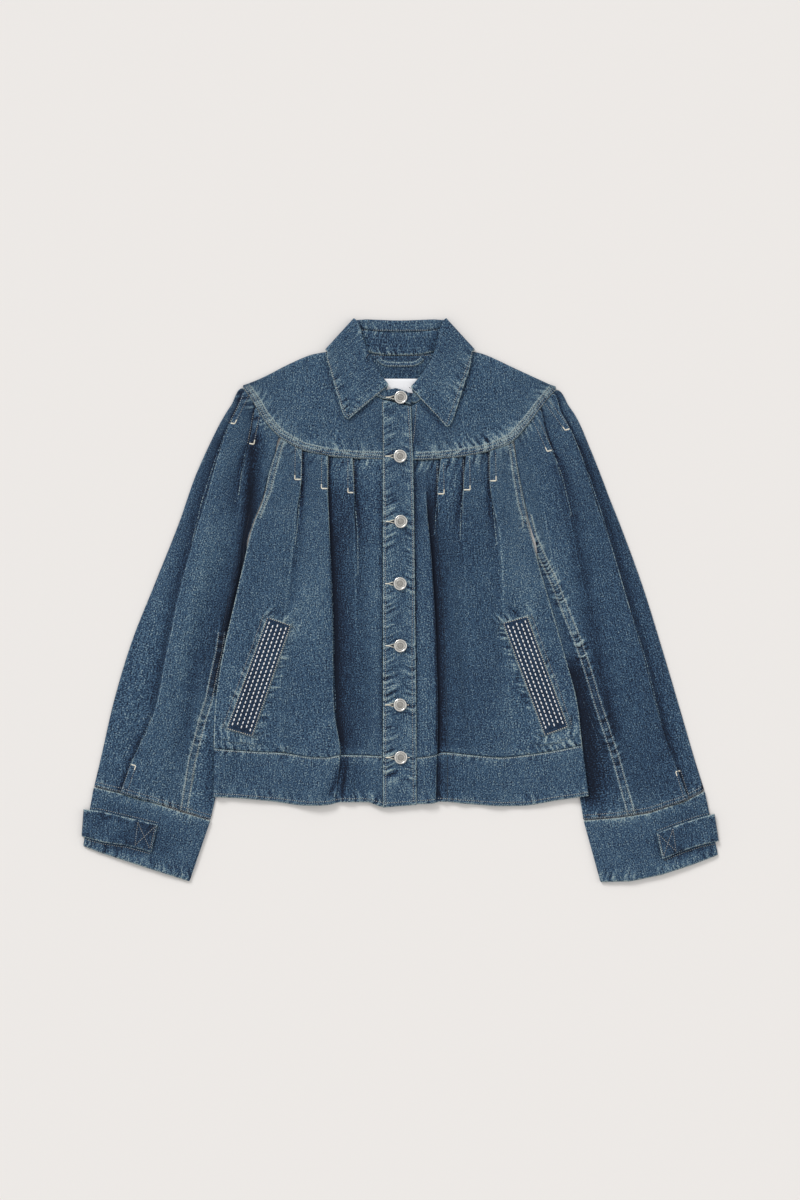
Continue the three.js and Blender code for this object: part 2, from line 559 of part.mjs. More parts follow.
// Place and direction at a distance along a polyline of [x, y].
function onLine(line, distance) {
  let left = distance;
  for (let k = 0; k < line.length - 1; k += 1) {
    const dx = line[k + 1][0] - line[k][0];
    const dy = line[k + 1][1] - line[k][1];
    const length = Math.hypot(dx, dy);
    if (left <= length || k === line.length - 2) {
      const t = left / length;
      return { x: line[k][0] + t * dx, y: line[k][1] + t * dy, way: [dx / length, dy / length] };
    }
    left -= length;
  }
  return null;
}

const lineLength = (line) => line.slice(1).reduce((sum, p, k) => (
  sum + Math.hypot(p[0] - line[k][0], p[1] - line[k][1])), 0);

// One ring of a sleeve: up over the top layer from the outer edge to the inner, then back below.
function sleeveRing(side, v) {
  const { lines, folds } = SLEEVES[side];
  const pointOf = (name) => [0, 1].map((axis) => (
    column(SLEEVE_STATIONS, lines[name].map((p) => p[axis]), v)));
  const names = ['outer', 'high', 'low', 'inner', 'edge'];
  const path = names.map(pointOf);
  const total = lineLength(path);
  const joined = smoothstep(v, SLEEVE_ARMPIT - 0.12, SLEEVE_ARMPIT);
  const atEdge = lerp(SEAT_LEVEL, SECOND_LAYER, joined);
  const facesAlong = side === 'right' ? 1 : -1;
  const section = foldedSection(
    { at: 1.2, level: SECOND_LAYER + 0.3 },
    { at: total - 1.2, level: atEdge },
    folds.map((fold) => ({
      faces: fold.faces * facesAlong,
      soft: fold.soft,
      edge: lineLength(path.slice(0, names.indexOf(fold.line) + 1)),
      step: column(SLEEVE_STATIONS, fold.step, v),
      closed: column(SLEEVE_STATIONS, fold.closed, v),
    })),
    SECOND_LAYER,
    2,
  );
  // The seam row follows the yoke seam itself.
  const toSeam = 1 - smoothstep(v, 0, SLEEVE_ROWS[1]);
  const span = [path[0][0], path[4][0]];
  const place = (distance, z, bow) => {
    const p = onLine(path, distance);
    const x = clamp(p.x, Math.min(...span), Math.max(...span));
    return { x, y: lerp(p.y, seamSide(x, -1), toSeam), z: z + bow, way: p.way };
  };
  const loft = (distance) => SLEEVE_LOFT * Math.sin(Math.PI * clamp(distance / total, 0, 1)) * 0.5;
  const top = section.map(([at, z]) => place(at, z, at < total * 0.55 ? loft(at) : 0));
  const belowCount = 6;
  const below = Array.from({ length: belowCount + 1 }, (_, k) => (
    place(lerp(total - 1.2, 1.2, k / belowCount), FLOOR_LAYER, 0)));
  const innerTurn = place(total, (atEdge + FLOOR_LAYER) / 2, 0);
  const outerTurn = place(0, (FLOOR_LAYER + SECOND_LAYER) / 2 + 0.1, 0);
  return [outerTurn, ...top, innerTurn, ...below];
}

function sleeve(side) {
  const grid = withNormals(SLEEVE_ROWS.map((v) => sleeveRing(side, v)), true);
  const armpitRow = SLEEVE_ROWS.indexOf(SLEEVE_ARMPIT);
  const innerTurn = grid[0].length - 8;
  const slit = (i, j) => i < armpitRow && (j === innerTurn || j === innerTurn - 1);
  return wall(grid, CLOTH, { ring: true, open: slit });
}

// A point of a cuff's plan: across from the outer edge, down from the seam.
function cuffPlan(side, across, down) {
  const { seam, hem } = CUFFS[side];
  const pick = (line) => onLine(line, across * lineLength(line));
  const [a, b] = [pick(seam), pick(hem)];
  const way = [lerp(a.way[0], b.way[0], down), lerp(a.way[1], b.way[1], down)];
  const length = Math.hypot(...way);
  return { x: lerp(a.x, b.x, down), y: lerp(a.y, b.y, down), way: way.map((w) => w / length) };
}
const CUFF_FLOOR = BAND / 2;
const cuffTop = (across) => (
  CUFF_FLOOR + BAND + GAP + CUFF_LOFT * Math.sin(Math.PI * clamp(across, 0, 1)));

function cuff(side) {
  const count = 9;
  const edge = 0.008;
  const rows = CUFF_ROWS.map((down) => {
    const at = (across, z) => ({ ...cuffPlan(side, across, down), z });
    const top = Array.from({ length: count + 1 }, (_, k) => lerp(edge, 1 - edge, k / count));
    return [
      at(0, CUFF_FLOOR + (BAND + GAP) / 2),
      ...top.map((across) => at(across, cuffTop(across))),
      at(1, CUFF_FLOOR + (BAND + GAP) / 2),
      ...[...top].reverse().map((across) => at(across, CUFF_FLOOR)),
    ];
  });
  rows[0].forEach((p) => { p.y -= 0.5; });
  return wall(withNormals(rows, true), BAND, { ring: true });
}

// The tab lies on the cuff and turns down round its outer edge.
function cuffTab(side) {
  const { tabTop, tabBottom } = CUFFS[side];
  const inward = -bodySign(side);
  const cuffEdge = -404 * inward;
  const cuffWidth = 150;
  const level = (x) => {
    const across = clamp(((x - cuffEdge) * inward) / cuffWidth, 0.05, 1);
    return cuffTop(across) + BAND / 2 + GAP + COLLAR / 2;
  };
  const rows = [0, 0.5, 1].map((t) => {
    const path = tabTop.map((top, k) => top.map((c, axis) => lerp(c, tabBottom[k][axis], t)));
    const total = lineLength(path);
    const lying = [5, 16, 34, 56, 78, total].map((d) => {
      const p = onLine(path, Math.min(d, total));
      return { ...p, z: level(p.x) };
    });
    const edgeZ = lying[0].z;
    const turn = [[1.2, 1.1], [1.2, edgeZ - 2.2], [2.6, edgeZ - 0.5]];
    return [...turn.map(([d, z]) => ({ ...onLine(path, d), z })), ...lying];
  });
  return wall(withNormals(rows), COLLAR);
}

const WELT_CLEAR = 0.7; // over the front, with room for the facets of both
function pocketWelt(side) {
  const { topInner, topOuter, bottomInner, bottomOuter } = WELTS[side];
  const order = side === 'right' ? [topOuter, topInner, bottomOuter, bottomInner]
    : [topInner, topOuter, bottomInner, bottomOuter];
  const width = [order[1][0] - order[0][0], order[1][1] - order[0][1]];
  const way = width.map((c) => c / Math.hypot(...width));
  const [downCount, acrossCount] = [8, 5];
  const rows = Array.from({ length: downCount + 1 }, (_, i) => (
    Array.from({ length: acrossCount + 1 }, (__, j) => {
      const [down, across] = [i / downCount, j / acrossCount];
      const [x, y] = [0, 1].map((axis) => lerp(
        lerp(order[0][axis], order[1][axis], across),
        lerp(order[2][axis], order[3][axis], across),
        down,
      ));
      return { x, y, z: frontHeight(side, x, y) + CLOTH + WELT_CLEAR, way };
    })));
  return wall(withNormals(rows), CLOTH);
}

// Plackets: rows from the neck seam to the hem.
const neckLine = (x) => lerp(260.2, 251.2, (x - PLACKET_LEFT) / 36.4);
function strip({ left, right, level, thickness, bottom }) {
  const count = 8;
  const rows = Array.from({ length: count + 1 }, (_, i) => [0, 0.5, 1].map((t) => {
    const down = i / count;
    const endY = (x) => lerp(neckLine(x), bottom(x), down);
    const x = lerp(left(endY(0)), right(endY(0)), t);
    return { x, y: endY(x), z: level, way: [1, 0] };
  }));
  return wall(withNormals(rows), thickness);
}
const plackets = {
  button: () => strip({
    left: () => PLACKET_LEFT,
    right: (y) => along(PLACKET_RIGHT, y),
    level: BUTTON_PLACKET_LEVEL,
    thickness: BAND,
    bottom: (x) => lerp(-269.5, -266, (x - PLACKET_LEFT) / 43.5),
  }),
  under: () => strip({
    left: () => PLACKET_LEFT + 1,
    right: (y) => along(PLACKET_RIGHT, y) - 3 - GAP,
    level: UNDER_PLACKET_LEVEL,
    thickness: COLLAR,
    bottom: () => -264,
  }),
};

// Collar ribbons. Each station is {neck, roll, edge, level, lean}: lean turns the cloth from
// facing up on the front, through facing out at the shoulder, to facing down on the back.
const mirrored = ([x, y]) => [-x, y];
function collarStations() {
  const half = (COLLAR_FRONT_LEVEL - COLLAR_BACK_LEVEL) / 2;
  const round = (sign) => [0, 45, 90, 135, 180].map((degrees) => {
    const lean = THREE.MathUtils.degToRad(degrees);
    const out = [SIDE_OUTWARD[0] * -sign, SIDE_OUTWARD[1]];
    const shift = half * Math.sin(lean);
    const moved = (p) => [-sign * p[0] + out[0] * shift, p[1] + out[1] * shift];
    const level = (COLLAR_FRONT_LEVEL + COLLAR_BACK_LEVEL) / 2 + half * Math.cos(lean);
    const { neck, roll, edge } = COLLAR_SIDE;
    return { neck: moved(neck), roll: moved(roll), edge: moved(edge), level, lean, out };
  });
  const flat = (s, lean, sign = -1) => ({
    neck: sign < 0 ? s.neck : mirrored(s.neck),
    roll: sign < 0 ? s.roll : mirrored(s.roll),
    edge: sign < 0 ? s.edge : mirrored(s.edge),
    level: s.level ?? COLLAR_BACK_LEVEL,
    lean,
    out: [0, 0],
  });
  return [
    ...COLLAR_FRONTS.right.map((s) => flat(s, 0)),
    ...round(-1),
    ...COLLAR_BACK.map((s) => flat(s, Math.PI)),
    ...[...COLLAR_BACK].reverse().slice(1).map((s) => flat(s, Math.PI, 1)),
    ...round(1).reverse(),
    ...[...COLLAR_FRONTS.left].reverse().map((s) => flat(s, 0)),
  ];
}
function outwardOf({ lean, out }) {
  return [Math.sin(lean) * out[0], Math.sin(lean) * out[1], Math.cos(lean)];
}

// The leaf runs from its seam on the stand up to the roll, turns, and falls to its outer edge.
function collarLeaf() {
  const columns = collarStations().map((s) => {
    const n = outwardOf(s);
    const ahead = [s.roll[0] - s.neck[0], s.roll[1] - s.neck[1]];
    const length = Math.hypot(...ahead);
    const up = [ahead[0] / length, ahead[1] / length, 0];
    const inside = (share) => {
      const p = [lerp(s.neck[0], s.roll[0], share), lerp(s.neck[1], s.roll[1], share)];
      return { x: p[0], y: p[1], z: s.level, n: n.map((c) => -c) };
    };
    const rise = n[2] > 0.99 ? LEAF_FRONT_LEVEL - s.level : LEAF_RISE;
    const half = rise / 2;
    const turn = {
      x: s.roll[0] + (up[0] + n[0]) * half,
      y: s.roll[1] + (up[1] + n[1]) * half,
      z: s.level + n[2] * half,
      n: up,
    };
    const fallen = (share) => {
      const drop = 0.3 * share * share * Math.max(n[2], 0);
      return {
        x: lerp(s.roll[0], s.edge[0], share) + n[0] * rise,
        y: lerp(s.roll[1], s.edge[1], share) + n[1] * rise,
        z: s.level + n[2] * rise - drop,
        n,
      };
    };
    const falling = [0.01, 0.35, 0.7, 1].map(fallen);
    return [inside(STAND_SHARE + 0.02), inside(1), turn, ...falling];
  });
  const rows = columns[0].map((_, i) => columns.map((points) => points[i]));
  return wall(rows, COLLAR);
}

function collarStand() {
  const fromStation = (s, share) => {
    const top = [0, 1].map((axis) => lerp(s.neck[axis], s.roll[axis], share));
    return { neck: s.neck, top, level: s.level, n: outwardOf(s) };
  };
  const up = [0, 0, 1];
  const stations = [
    ...TAB_STATIONS.map((s) => ({ ...s, n: up })),
    ...collarStations().map((s) => fromStation(s, STAND_SHARE)),
    { ...UNDER_TAB, n: up },
  ];
  const rows = [0.02, 0.5, 1].map((share) => stations.map((s) => ({
    x: lerp(s.neck[0], s.top[0], share),
    y: lerp(s.neck[1], s.top[1], share),
    z: s.level,
    n: s.n,
  })));
  return wall(rows, COLLAR);
}

// A flat strap along a path of [x, y], lying on the back yoke.
function strapOnYoke(path, width, thickness, lift) {
  const rows = path.map(([x, y], i) => {
    const before = path[Math.max(i - 1, 0)];
    const after = path[Math.min(i + 1, path.length - 1)];
    const run = [after[0] - before[0], after[1] - before[1]];
    const length = Math.hypot(...run);
    const across = [-run[1] / length, run[0] / length];
    return [-0.5, 0.5].map((t) => {
      const spot = [x + across[0] * width * t, y + across[1] * width * t];
      const z = backYokeLevel(...spot) + CLOTH / 2 + GAP + lift + thickness / 2;
      return { x: spot[0], y: spot[1], z, way: across };
    });
  });
  return wall(withNormals(rows), thickness);
}
const LOOP_PATH = [
  [-29, 314.5], [-24, 309], [-17, 306.5], [0, 306], [17, 306.5], [24, 309], [29, 314.5],
];
const LABEL_PATH = [[0, 287.5], [0, 280], [0, 272], [0, 264]];
const hangerLoop = () => strapOnYoke(LOOP_PATH, 6, 1.6, 0.1);
const neckLabel = () => strapOnYoke(LABEL_PATH, 46, 1.0, 0);

// A domed shank button, turned about its post.
function button() {
  const r = BUTTON_DIAMETER / 2;
  const profile = [[0, 0], [3.5, 0], [3.5, 0.8], [r - 0.6, 1.1], [r, 1.9], [r - 0.8, 2.7],
    [r - 2, 2.4], [r - 3.4, 2.9], [0, BUTTON_HEIGHT]];
  const geometry = new THREE.LatheGeometry(profile.map(([x, y]) => new THREE.Vector2(x, y)), 12);
  geometry.rotateX(Math.PI / 2);
  return geometry;
}
const BUTTON_CENTRES = [
  [0.9, 263.1], [0.1, 186.7], [1, 101.9], [0, 21.2], [0.5, -59.4], [0.1, -136.2], [1, -204.5],
];
const TAB_LEVEL = 5.6;

const jacket = new THREE.Group();
function add(name, geometry, finish) {
  const mesh = new THREE.Mesh(geometry, new THREE.MeshStandardMaterial(finish));
  mesh.name = name;
  jacket.add(mesh);
  return mesh;
}

add('back_panel', backPanel(), DENIM);
add('back_yoke', backYoke(), DENIM);
add('back_hem_band', backHemBand(), DENIM);
['right', 'left'].forEach((side) => {
  add(`${side}_front`, front(side), DENIM);
  add(`${side}_front_yoke`, frontYoke(side), DENIM);
  add(`${side}_front_hem_band`, frontHemBand(side), DENIM);
  add(`${side}_sleeve`, sleeve(side), DENIM);
  add(`${side}_cuff`, cuff(side), DENIM);
  add(`${side}_cuff_tab`, cuffTab(side), DENIM);
  add(`${side}_pocket_welt`, pocketWelt(side), DENIM);
});
add('under_placket', plackets.under(), DENIM);
add('button_placket', plackets.button(), DENIM);
add('collar_stand', collarStand(), DENIM);
add('collar_leaf', collarLeaf(), DENIM);
add('hanger_loop', hangerLoop(), DENIM);
add('neck_label', neckLabel(), WHITE_TAPE);
BUTTON_CENTRES.forEach(([x, y], i) => {
  const carrier = i === 0 ? TAB_LEVEL + COLLAR / 2 : BUTTON_PLACKET_LEVEL + BAND / 2;
  add(`button_${i + 1}`, button(), SILVER).position.set(x, y, carrier + GAP);
});

export default jacket;
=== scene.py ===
# %% [markdown]
# # A denim jacket, laid flat
# The jacket lies on its back, buttoned, and the camera looks straight down on it. Its solids,
# made before in millimetres, give every panel a stiff wall of the right outline and folds. Here
# each wall gets a cloth of its own: a thin closed shell on the same lines, with the creases,
# puckers, sewing and wash of real denim, and painted shade in its folds and gaps.

# %% Load the solids and keep their box
import json
import math
import bpy
import numpy as np
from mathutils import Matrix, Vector
from mathutils.bvhtree import BVHTree

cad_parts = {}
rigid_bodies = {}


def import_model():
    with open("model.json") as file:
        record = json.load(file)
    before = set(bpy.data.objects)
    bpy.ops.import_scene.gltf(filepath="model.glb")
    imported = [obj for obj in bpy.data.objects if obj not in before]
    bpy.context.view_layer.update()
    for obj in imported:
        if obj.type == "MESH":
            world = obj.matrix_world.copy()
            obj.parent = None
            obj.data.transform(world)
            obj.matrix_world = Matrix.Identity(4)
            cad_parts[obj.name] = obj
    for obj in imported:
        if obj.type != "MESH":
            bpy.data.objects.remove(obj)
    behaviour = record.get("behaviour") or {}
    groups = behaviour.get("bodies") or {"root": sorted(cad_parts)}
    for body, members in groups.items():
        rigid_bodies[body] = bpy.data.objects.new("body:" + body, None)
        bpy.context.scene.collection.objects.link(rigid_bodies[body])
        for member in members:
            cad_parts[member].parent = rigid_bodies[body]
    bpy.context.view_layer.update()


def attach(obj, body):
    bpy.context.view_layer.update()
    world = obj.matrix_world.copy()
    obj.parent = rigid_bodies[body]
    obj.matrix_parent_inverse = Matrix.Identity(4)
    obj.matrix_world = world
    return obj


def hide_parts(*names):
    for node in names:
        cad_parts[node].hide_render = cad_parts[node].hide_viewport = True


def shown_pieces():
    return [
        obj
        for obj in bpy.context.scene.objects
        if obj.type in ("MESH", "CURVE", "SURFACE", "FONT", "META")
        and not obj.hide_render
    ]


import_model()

MM = 0.001
STEP = 2.3  # millimetres between neighbouring points of a cloth

# %% [markdown]
# ## Curves through short tables
# Every edge, seam and fold of the jacket is a smooth line through a few measured places. A curve
# that never swings past its own points is the safe choice for a pattern, because a seam that
# bulges between two marks would cross its neighbour.

# %% Curves
def lerp(a, b, t):
    return a + (b - a) * t

def ease(t, start=0.0, end=1.0):
    """A soft step from 0 to 1 between start and end."""
    t = np.clip((np.asarray(t, float) - start) / (end - start), 0, 1)
    return t * t * (3 - 2 * t)

def along(rows, place):
    """The smooth curve through rows of (place, value), held level past both ends."""
    xs, ys = np.asarray(rows, float).T
    place = np.clip(np.asarray(place, float), xs[0], xs[-1])
    i = np.clip(np.searchsorted(xs, place, side="right") - 1, 0, len(xs) - 2)
    slope = np.diff(ys) / np.diff(xs)
    here, before, after = slope[i], slope[np.maximum(i - 1, 0)], slope[np.minimum(i + 1, len(slope) - 1)]
    start = np.where(before * here > 0, (before + here) / 2, 0)
    end = np.where(after * here > 0, (after + here) / 2, 0)
    span = xs[i + 1] - xs[i]
    t = (place - xs[i]) / span
    return ((1 + 2 * t) * (1 - t) ** 2 * ys[i] + t * t * (3 - 2 * t) * ys[i + 1]
            + span * (t * (1 - t) ** 2 * start - t * t * (1 - t) * end))

def column(stations, values, place):
    return along(list(zip(stations, values)), place)

def unit(vectors):
    return vectors / np.linalg.norm(vectors, axis=1)[:, None]

def places_on(line):
    """How far along a line each of its points is."""
    return np.r_[0, np.cumsum(np.linalg.norm(np.diff(line, axis=0), axis=1))]

def points_over(long, finer=1.0, coarser=1.0):
    """How many points lie along so many millimetres of cloth."""
    return int(long / STEP * finer / coarser)

def spaced(points, step=None, count=None):
    """Points evenly apart on a line through the given ones."""
    points = np.asarray(points, float)
    at = places_on(points)
    count = count or max(2, int(round(at[-1] / step)) + 1)
    places = np.linspace(0, at[-1], count)
    return np.stack([np.interp(places, at, c) for c in points.T], axis=1)

def smooth_line(points, step=2.0):
    """The same with its corners rounded a little."""
    line = spaced(points, step)
    for _ in range(3):
        line[1:-1] = (line[:-2] + 2 * line[1:-1] + line[2:]) / 4
    return line

def beside(line, offset):
    """A line moved sideways, to the left of its own way where offset is positive."""
    line = np.asarray(line, float)
    way = np.gradient(line, axis=0)
    way = unit(way)
    return line + offset * np.stack([-way[:, 1], way[:, 0]], axis=1)

LATTICE = np.random.default_rng(7).uniform(-1, 1, (64, 64))

def drift(x, y, size_x, size_y, turn=0):
    """Soft random hills, of about the given sizes, from -1 to 1."""
    u, v = np.asarray(x, float) / size_x + turn * 7.31, np.asarray(y, float) / size_y + turn * 3.77
    i, j = np.floor(u).astype(int), np.floor(v).astype(int)
    f, g = ease(u - i), ease(v - j)
    def at(a, b):
        return LATTICE[a % 64, b % 64]
    return lerp(lerp(at(i, j), at(i + 1, j), f), lerp(at(i, j + 1), at(i + 1, j + 1), f), g)

# %% [markdown]
# ## The jacket's measures
# Millimetres, with x to the viewer's right and y towards the collar. Right and left are the
# wearer's, so the right front lies at negative x. These are the same tables as the solids have,
# which keeps every cloth on its own wall. Only the collar's roll on the wearer's left was moved
# out by a few millimetres, which is closer to the real one.

# %% Seams and edges
CLOTH, BAND, COLLAR, GAP = 1.2, 1.8, 1.6, 0.3  # thicknesses, and the air between two layers
PITCH = CLOTH + GAP
FLOOR_LAYER = CLOTH / 2
SECOND_LAYER = FLOOR_LAYER + PITCH
SEAT_LEVEL, FRONT_FOOT, PLEAT_DEPTH = 3.6, 2.3, 11
BUTTON_PLACKET_LEVEL, UNDER_PLACKET_LEVEL, PLACKET_LEFT = 5.6, 3.6, -22.1
SIDES = {"right": -1, "left": 1}
YOKE_SEAM = [
    (-204, 275), (-192, 259), (-179, 237), (-166, 221), (-155, 210.5), (-127, 195), (-94, 187.2),
    (-62, 184), (-22, 182.7), (21, 182), (53, 183.3), (86, 187.2), (117, 193.7), (147, 206.5),
    (170, 232.7), (188, 256), (202.5, 272.5),
]
HEM_SEAM = [
    (-242, -193), (-186, -197.2), (-151, -198.9), (-119, -203.8), (-95, -204.6), (-76, -201.2),
    (-22, -202.8), (21, -204.6), (46, -201.2), (55, -198), (99, -202.2), (132, -204.6), (166, -201.2),
    (199, -196.3), (237, -188.5),
]
HEM_EDGE = [
    (-242, -256), (-211, -257.4), (-168, -261.3), (-120, -267), (-94, -266.2), (-76, -262.6),
    (-43, -262.6), (-22, -268.5), (22, -265.2), (44, -263.9), (52, -261.9), (92, -265.2),
    (133, -267.7), (166, -266.8), (199, -261), (246, -254.2),
]
SHOULDER = [
    (-204, 278.8), (-179, 288.6), (-149, 304.2), (-116, 318.5), (-101, 321.5), (-94, 322.8),
    (-64, 337.5), (64, 337.5), (94, 322.8), (101, 321.5), (110, 319), (148, 301.6), (179, 287.3),
    (202.5, 276.5),
]
BACK_NECK = [
    (-64, 337.5), (-54, 325.2), (-33, 318.4), (0, 316.6), (33, 318.4), (54, 325.2), (64, 337.5),
]
PLACKET_RIGHT = [(-268, 21.4), (-204, 21.4), (0, 19.5), (183, 16.9), (252, 14.3)]
SEAM_HALF = 0.22  # half the gap between two solids that a seam joins
HEM, ARMPIT = 1.16, 0.28  # shares of the way down a front, from its yoke seam to the hem seam
BODY_STATIONS = [0, 0.1, 0.2, 0.28, 0.4, 0.55, 0.7, 0.85, 1, HEM]
STITCHED = [1, 1, 0.45, 0.1, 0, 0, 0, 0, 0, 0]  # how closed a pleat is at each station
FRONTS = {
    "right": {
        "side": [-154.7, -169, -178, -191, -203, -217, -230.5, -239.5, -241.8, -241.8],
        "folds": [
            {"faces": 1, "soft": 8, "closed": STITCHED,
             "edge": [-127.4, -128.3, -132.3, -134, -139, -146, -150, -152, -151, -150],
             "step": [3.2, 3.2, 3.2, 3.1, 3, 2.2, 1.2, 0.8, 0.4, 0]},
            {"faces": 1, "soft": 7, "closed": [1, 1, 1, 0.9, 0.7, 0.6, 0.6, 0.6, 0.8, 0.5],
             "edge": [-93.6, -94.1, -92.6, -91.2, -88.7, -86.6, -86, -84.5, -77, -84],
             "step": [3.2, 3.2, 3.2, 3.2, 3.2, 3.2, 3.2, 3.2, 3.2, 2.6]},
            {"faces": 1, "soft": 8, "closed": STITCHED,
             "edge": [-61.8, -59.9, -57.9, -55.8, -54.6, -53.8, -51.9, -50.5, -49.5, -50],
             "step": [3.2, 3.2, 3.2, 3, 2.4, 1, 0.4, 0, 0, 0]},
        ],
    },
    "left": {
        "side": [146.9, 154, 162, 168.5, 180.7, 198, 214.5, 229.5, 236.6, 245],
        "folds": [
            {"faces": 1, "soft": 5, "closed": [0, 0.1, 0.5, 0.8, 1, 1, 1, 1, 1, 0.8],
             "edge": [33, 34.5, 36.5, 39.4, 42.2, 45.8, 47.6, 49, 48.1, 47],
             "step": [0, 0.8, 2.6, 3.2, 3.3, 3.3, 3.3, 3.3, 3.3, 2.8]},
            {"faces": -1, "soft": 4, "closed": [1, 1, 0.2, 0, 0, 0, 0, 0, 0, 0],
             "edge": [53.3, 49.4, 49, 53, 57.5, 61, 63, 64.6, 66, 66],
             "step": [3.2, 3.2, 2, 0.4, 0, 0, 0, 0, 0, 0]},
            {"faces": -1, "soft": 8, "closed": [1, 1, 0.3, 0, 0, 0, 0, 0, 0, 0],
             "edge": [85.8, 82.7, 79.2, 79, 81, 84, 88, 92, 96, 98],
             "step": [3.2, 3.2, 2.4, 1.2, 0.6, 0.8, 1, 1, 0.6, 0]},
            {"faces": -1, "soft": 8, "closed": STITCHED,
             "edge": [117, 117, 121.5, 126.6, 130, 131, 134, 140, 146, 148],
             "step": [3.2, 3.2, 3.2, 3.1, 3, 2, 1, 0.8, 0.6, 0]},
        ],
    },
}
SLEEVE_STATIONS = [0, 0.08, 0.16, 0.23, 0.28, 0.35, 0.5, 0.65, 0.8, 0.92, 1]
SLEEVE_LINES = {
    "right": {
        "outer": [
            (-204, 274), (-228, 239), (-248, 200), (-265, 162), (-274, 137), (-286, 102), (-317, 24),
            (-348, -54), (-372, -134), (-387, -200), (-397, -242.5),
        ],
        "high": [
            (-199, 268), (-219, 232), (-235, 191), (-247, 151), (-254, 126), (-265, 91), (-287, 12),
            (-304, -69), (-321, -149), (-348, -210), (-363, -250.5),
        ],
        "low": [
            (-186, 248), (-195, 207), (-205, 166), (-209, 126), (-213, 101), (-217, 66), (-230, -13),
            (-246, -91), (-269, -168), (-286, -229), (-296, -270),
        ],
        "inner": [
            (-171, 226), (-182, 183), (-194, 144), (-200, 106), (-205, 82), (-208, 48), (-224, -26),
            (-241, -101), (-262, -175), (-274, -235), (-283, -274.5),
        ],
        "edge": [
            (-155.2, 209.8), (-168.6, 172), (-178.6, 133), (-192.6, 97), (-199.5, 72), (-199, 44),
            (-202, -36), (-209.5, -112), (-221, -187), (-237, -245), (-247, -285.5),
        ],
    },
    "left": {
        "outer": [
            (203, 272), (228, 238.5), (246, 198), (262, 158), (271, 134), (285, 99), (314, 20),
            (339, -60), (363, -141), (382, -206), (395, -247.5),
        ],
        "high": [
            (196, 264), (218, 227), (236, 187), (249, 147), (257, 122), (270, 87), (294, 7),
            (317, -73), (338, -154), (359, -217), (374, -258.5),
        ],
        "low": [
            (180, 245), (194, 204), (209, 163), (220, 124), (225, 99), (232, 63), (248, -16),
            (270, -94), (295, -171), (313, -234), (325, -275.5),
        ],
        "inner": [
            (161, 223), (171, 182), (181, 143), (187, 104), (192, 80), (198, 45), (214, -34),
            (236, -112), (262, -180), (281, -241), (284, -282),
        ],
        "edge": [
            (147.2, 205.8), (154.8, 165), (162.8, 126), (170.4, 94), (177.6, 70), (179, 44),
            (188, -30), (205, -105), (218.5, -183), (232, -245), (239, -285.8),
        ],
    },
}
SLEEVE_FOLDS = [
    {"line": "high", "faces": -1, "soft": 7,
     "closed": [1, 1, 0.8, 0.5, 0.4, 0.4, 0.3, 0.3, 0.4, 0.8, 1],
     "step": [3.2, 3.2, 3.2, 3.2, 3.1, 3, 2.8, 2.8, 3, 3.2, 3.2]},
    {"line": "low", "faces": -1, "soft": 8, "closed": [1, 1, 0.3, 0, 0, 0, 0, 0, 0, 0, 0],
     "step": [3.2, 3.2, 3, 2.4, 2, 1.6, 0.8, 0.6, 0.6, 0.4, 0]},
]
INNER_STEPS = {"right": [1, 1.6, 2.4, 3, 3.2, 3.2, 3, 2, 1.6, 1.2, 1],
               "left": [1, 1.2, 1.6, 2, 2, 2, 1.6, 1.6, 1.8, 1.6, 1]}

def sleeve_folds(side):
    """The two stitched pleats, and a soft fold near the inner edge that is nowhere closed."""
    soft = {"line": "inner", "faces": 1, "soft": 4, "closed": [0] * len(SLEEVE_STATIONS)}
    return SLEEVE_FOLDS + [{**soft, "step": INNER_STEPS[side]}]

CUFFS = {
    "right": {
        "seam": [(-397.2, -243.1), (-362.7, -250.9), (-325, -261.3), (-286, -274.6), (-247, -286)],
        "hem": [(-411, -319.8), (-387, -329), (-347, -342), (-310, -354), (-274.3, -365.3)],
        "tabTop": [(-411, -271.7), (-388.7, -274.3), (-349.7, -283.4), (-314.6, -291.7)],
        "tabBottom": [(-413.5, -306.8), (-387.4, -314.1), (-352.7, -319), (-322.9, -327.3)],
    },
    "left": {
        "seam": [(395.2, -248.3), (374.4, -259.2), (323.7, -276.6), (280.8, -283), (239.2, -286.2)],
        "hem": [(412.5, -331.5), (380, -344), (340, -357), (300, -365.4), (261.3, -366.5)],
        "tabTop": [(408.5, -277.6), (388, -283), (362, -291.5), (333.2, -302.5)],
        "tabBottom": [(414, -313.3), (392, -317.5), (366, -326), (340.6, -336.4)],
    },
}
WELTS = {
    "right": {"topInner": (-140.4, -32.1), "topOuter": (-172.9, -20.8),
              "bottomInner": (-191.1, -178.6), "bottomOuter": (-226.2, -167.7)},
    "left": {"topInner": (132.2, -29.2), "topOuter": (166, -19.5), "bottomInner": (187.2, -177.3),
             "bottomOuter": (219.6, -165.1)},
}
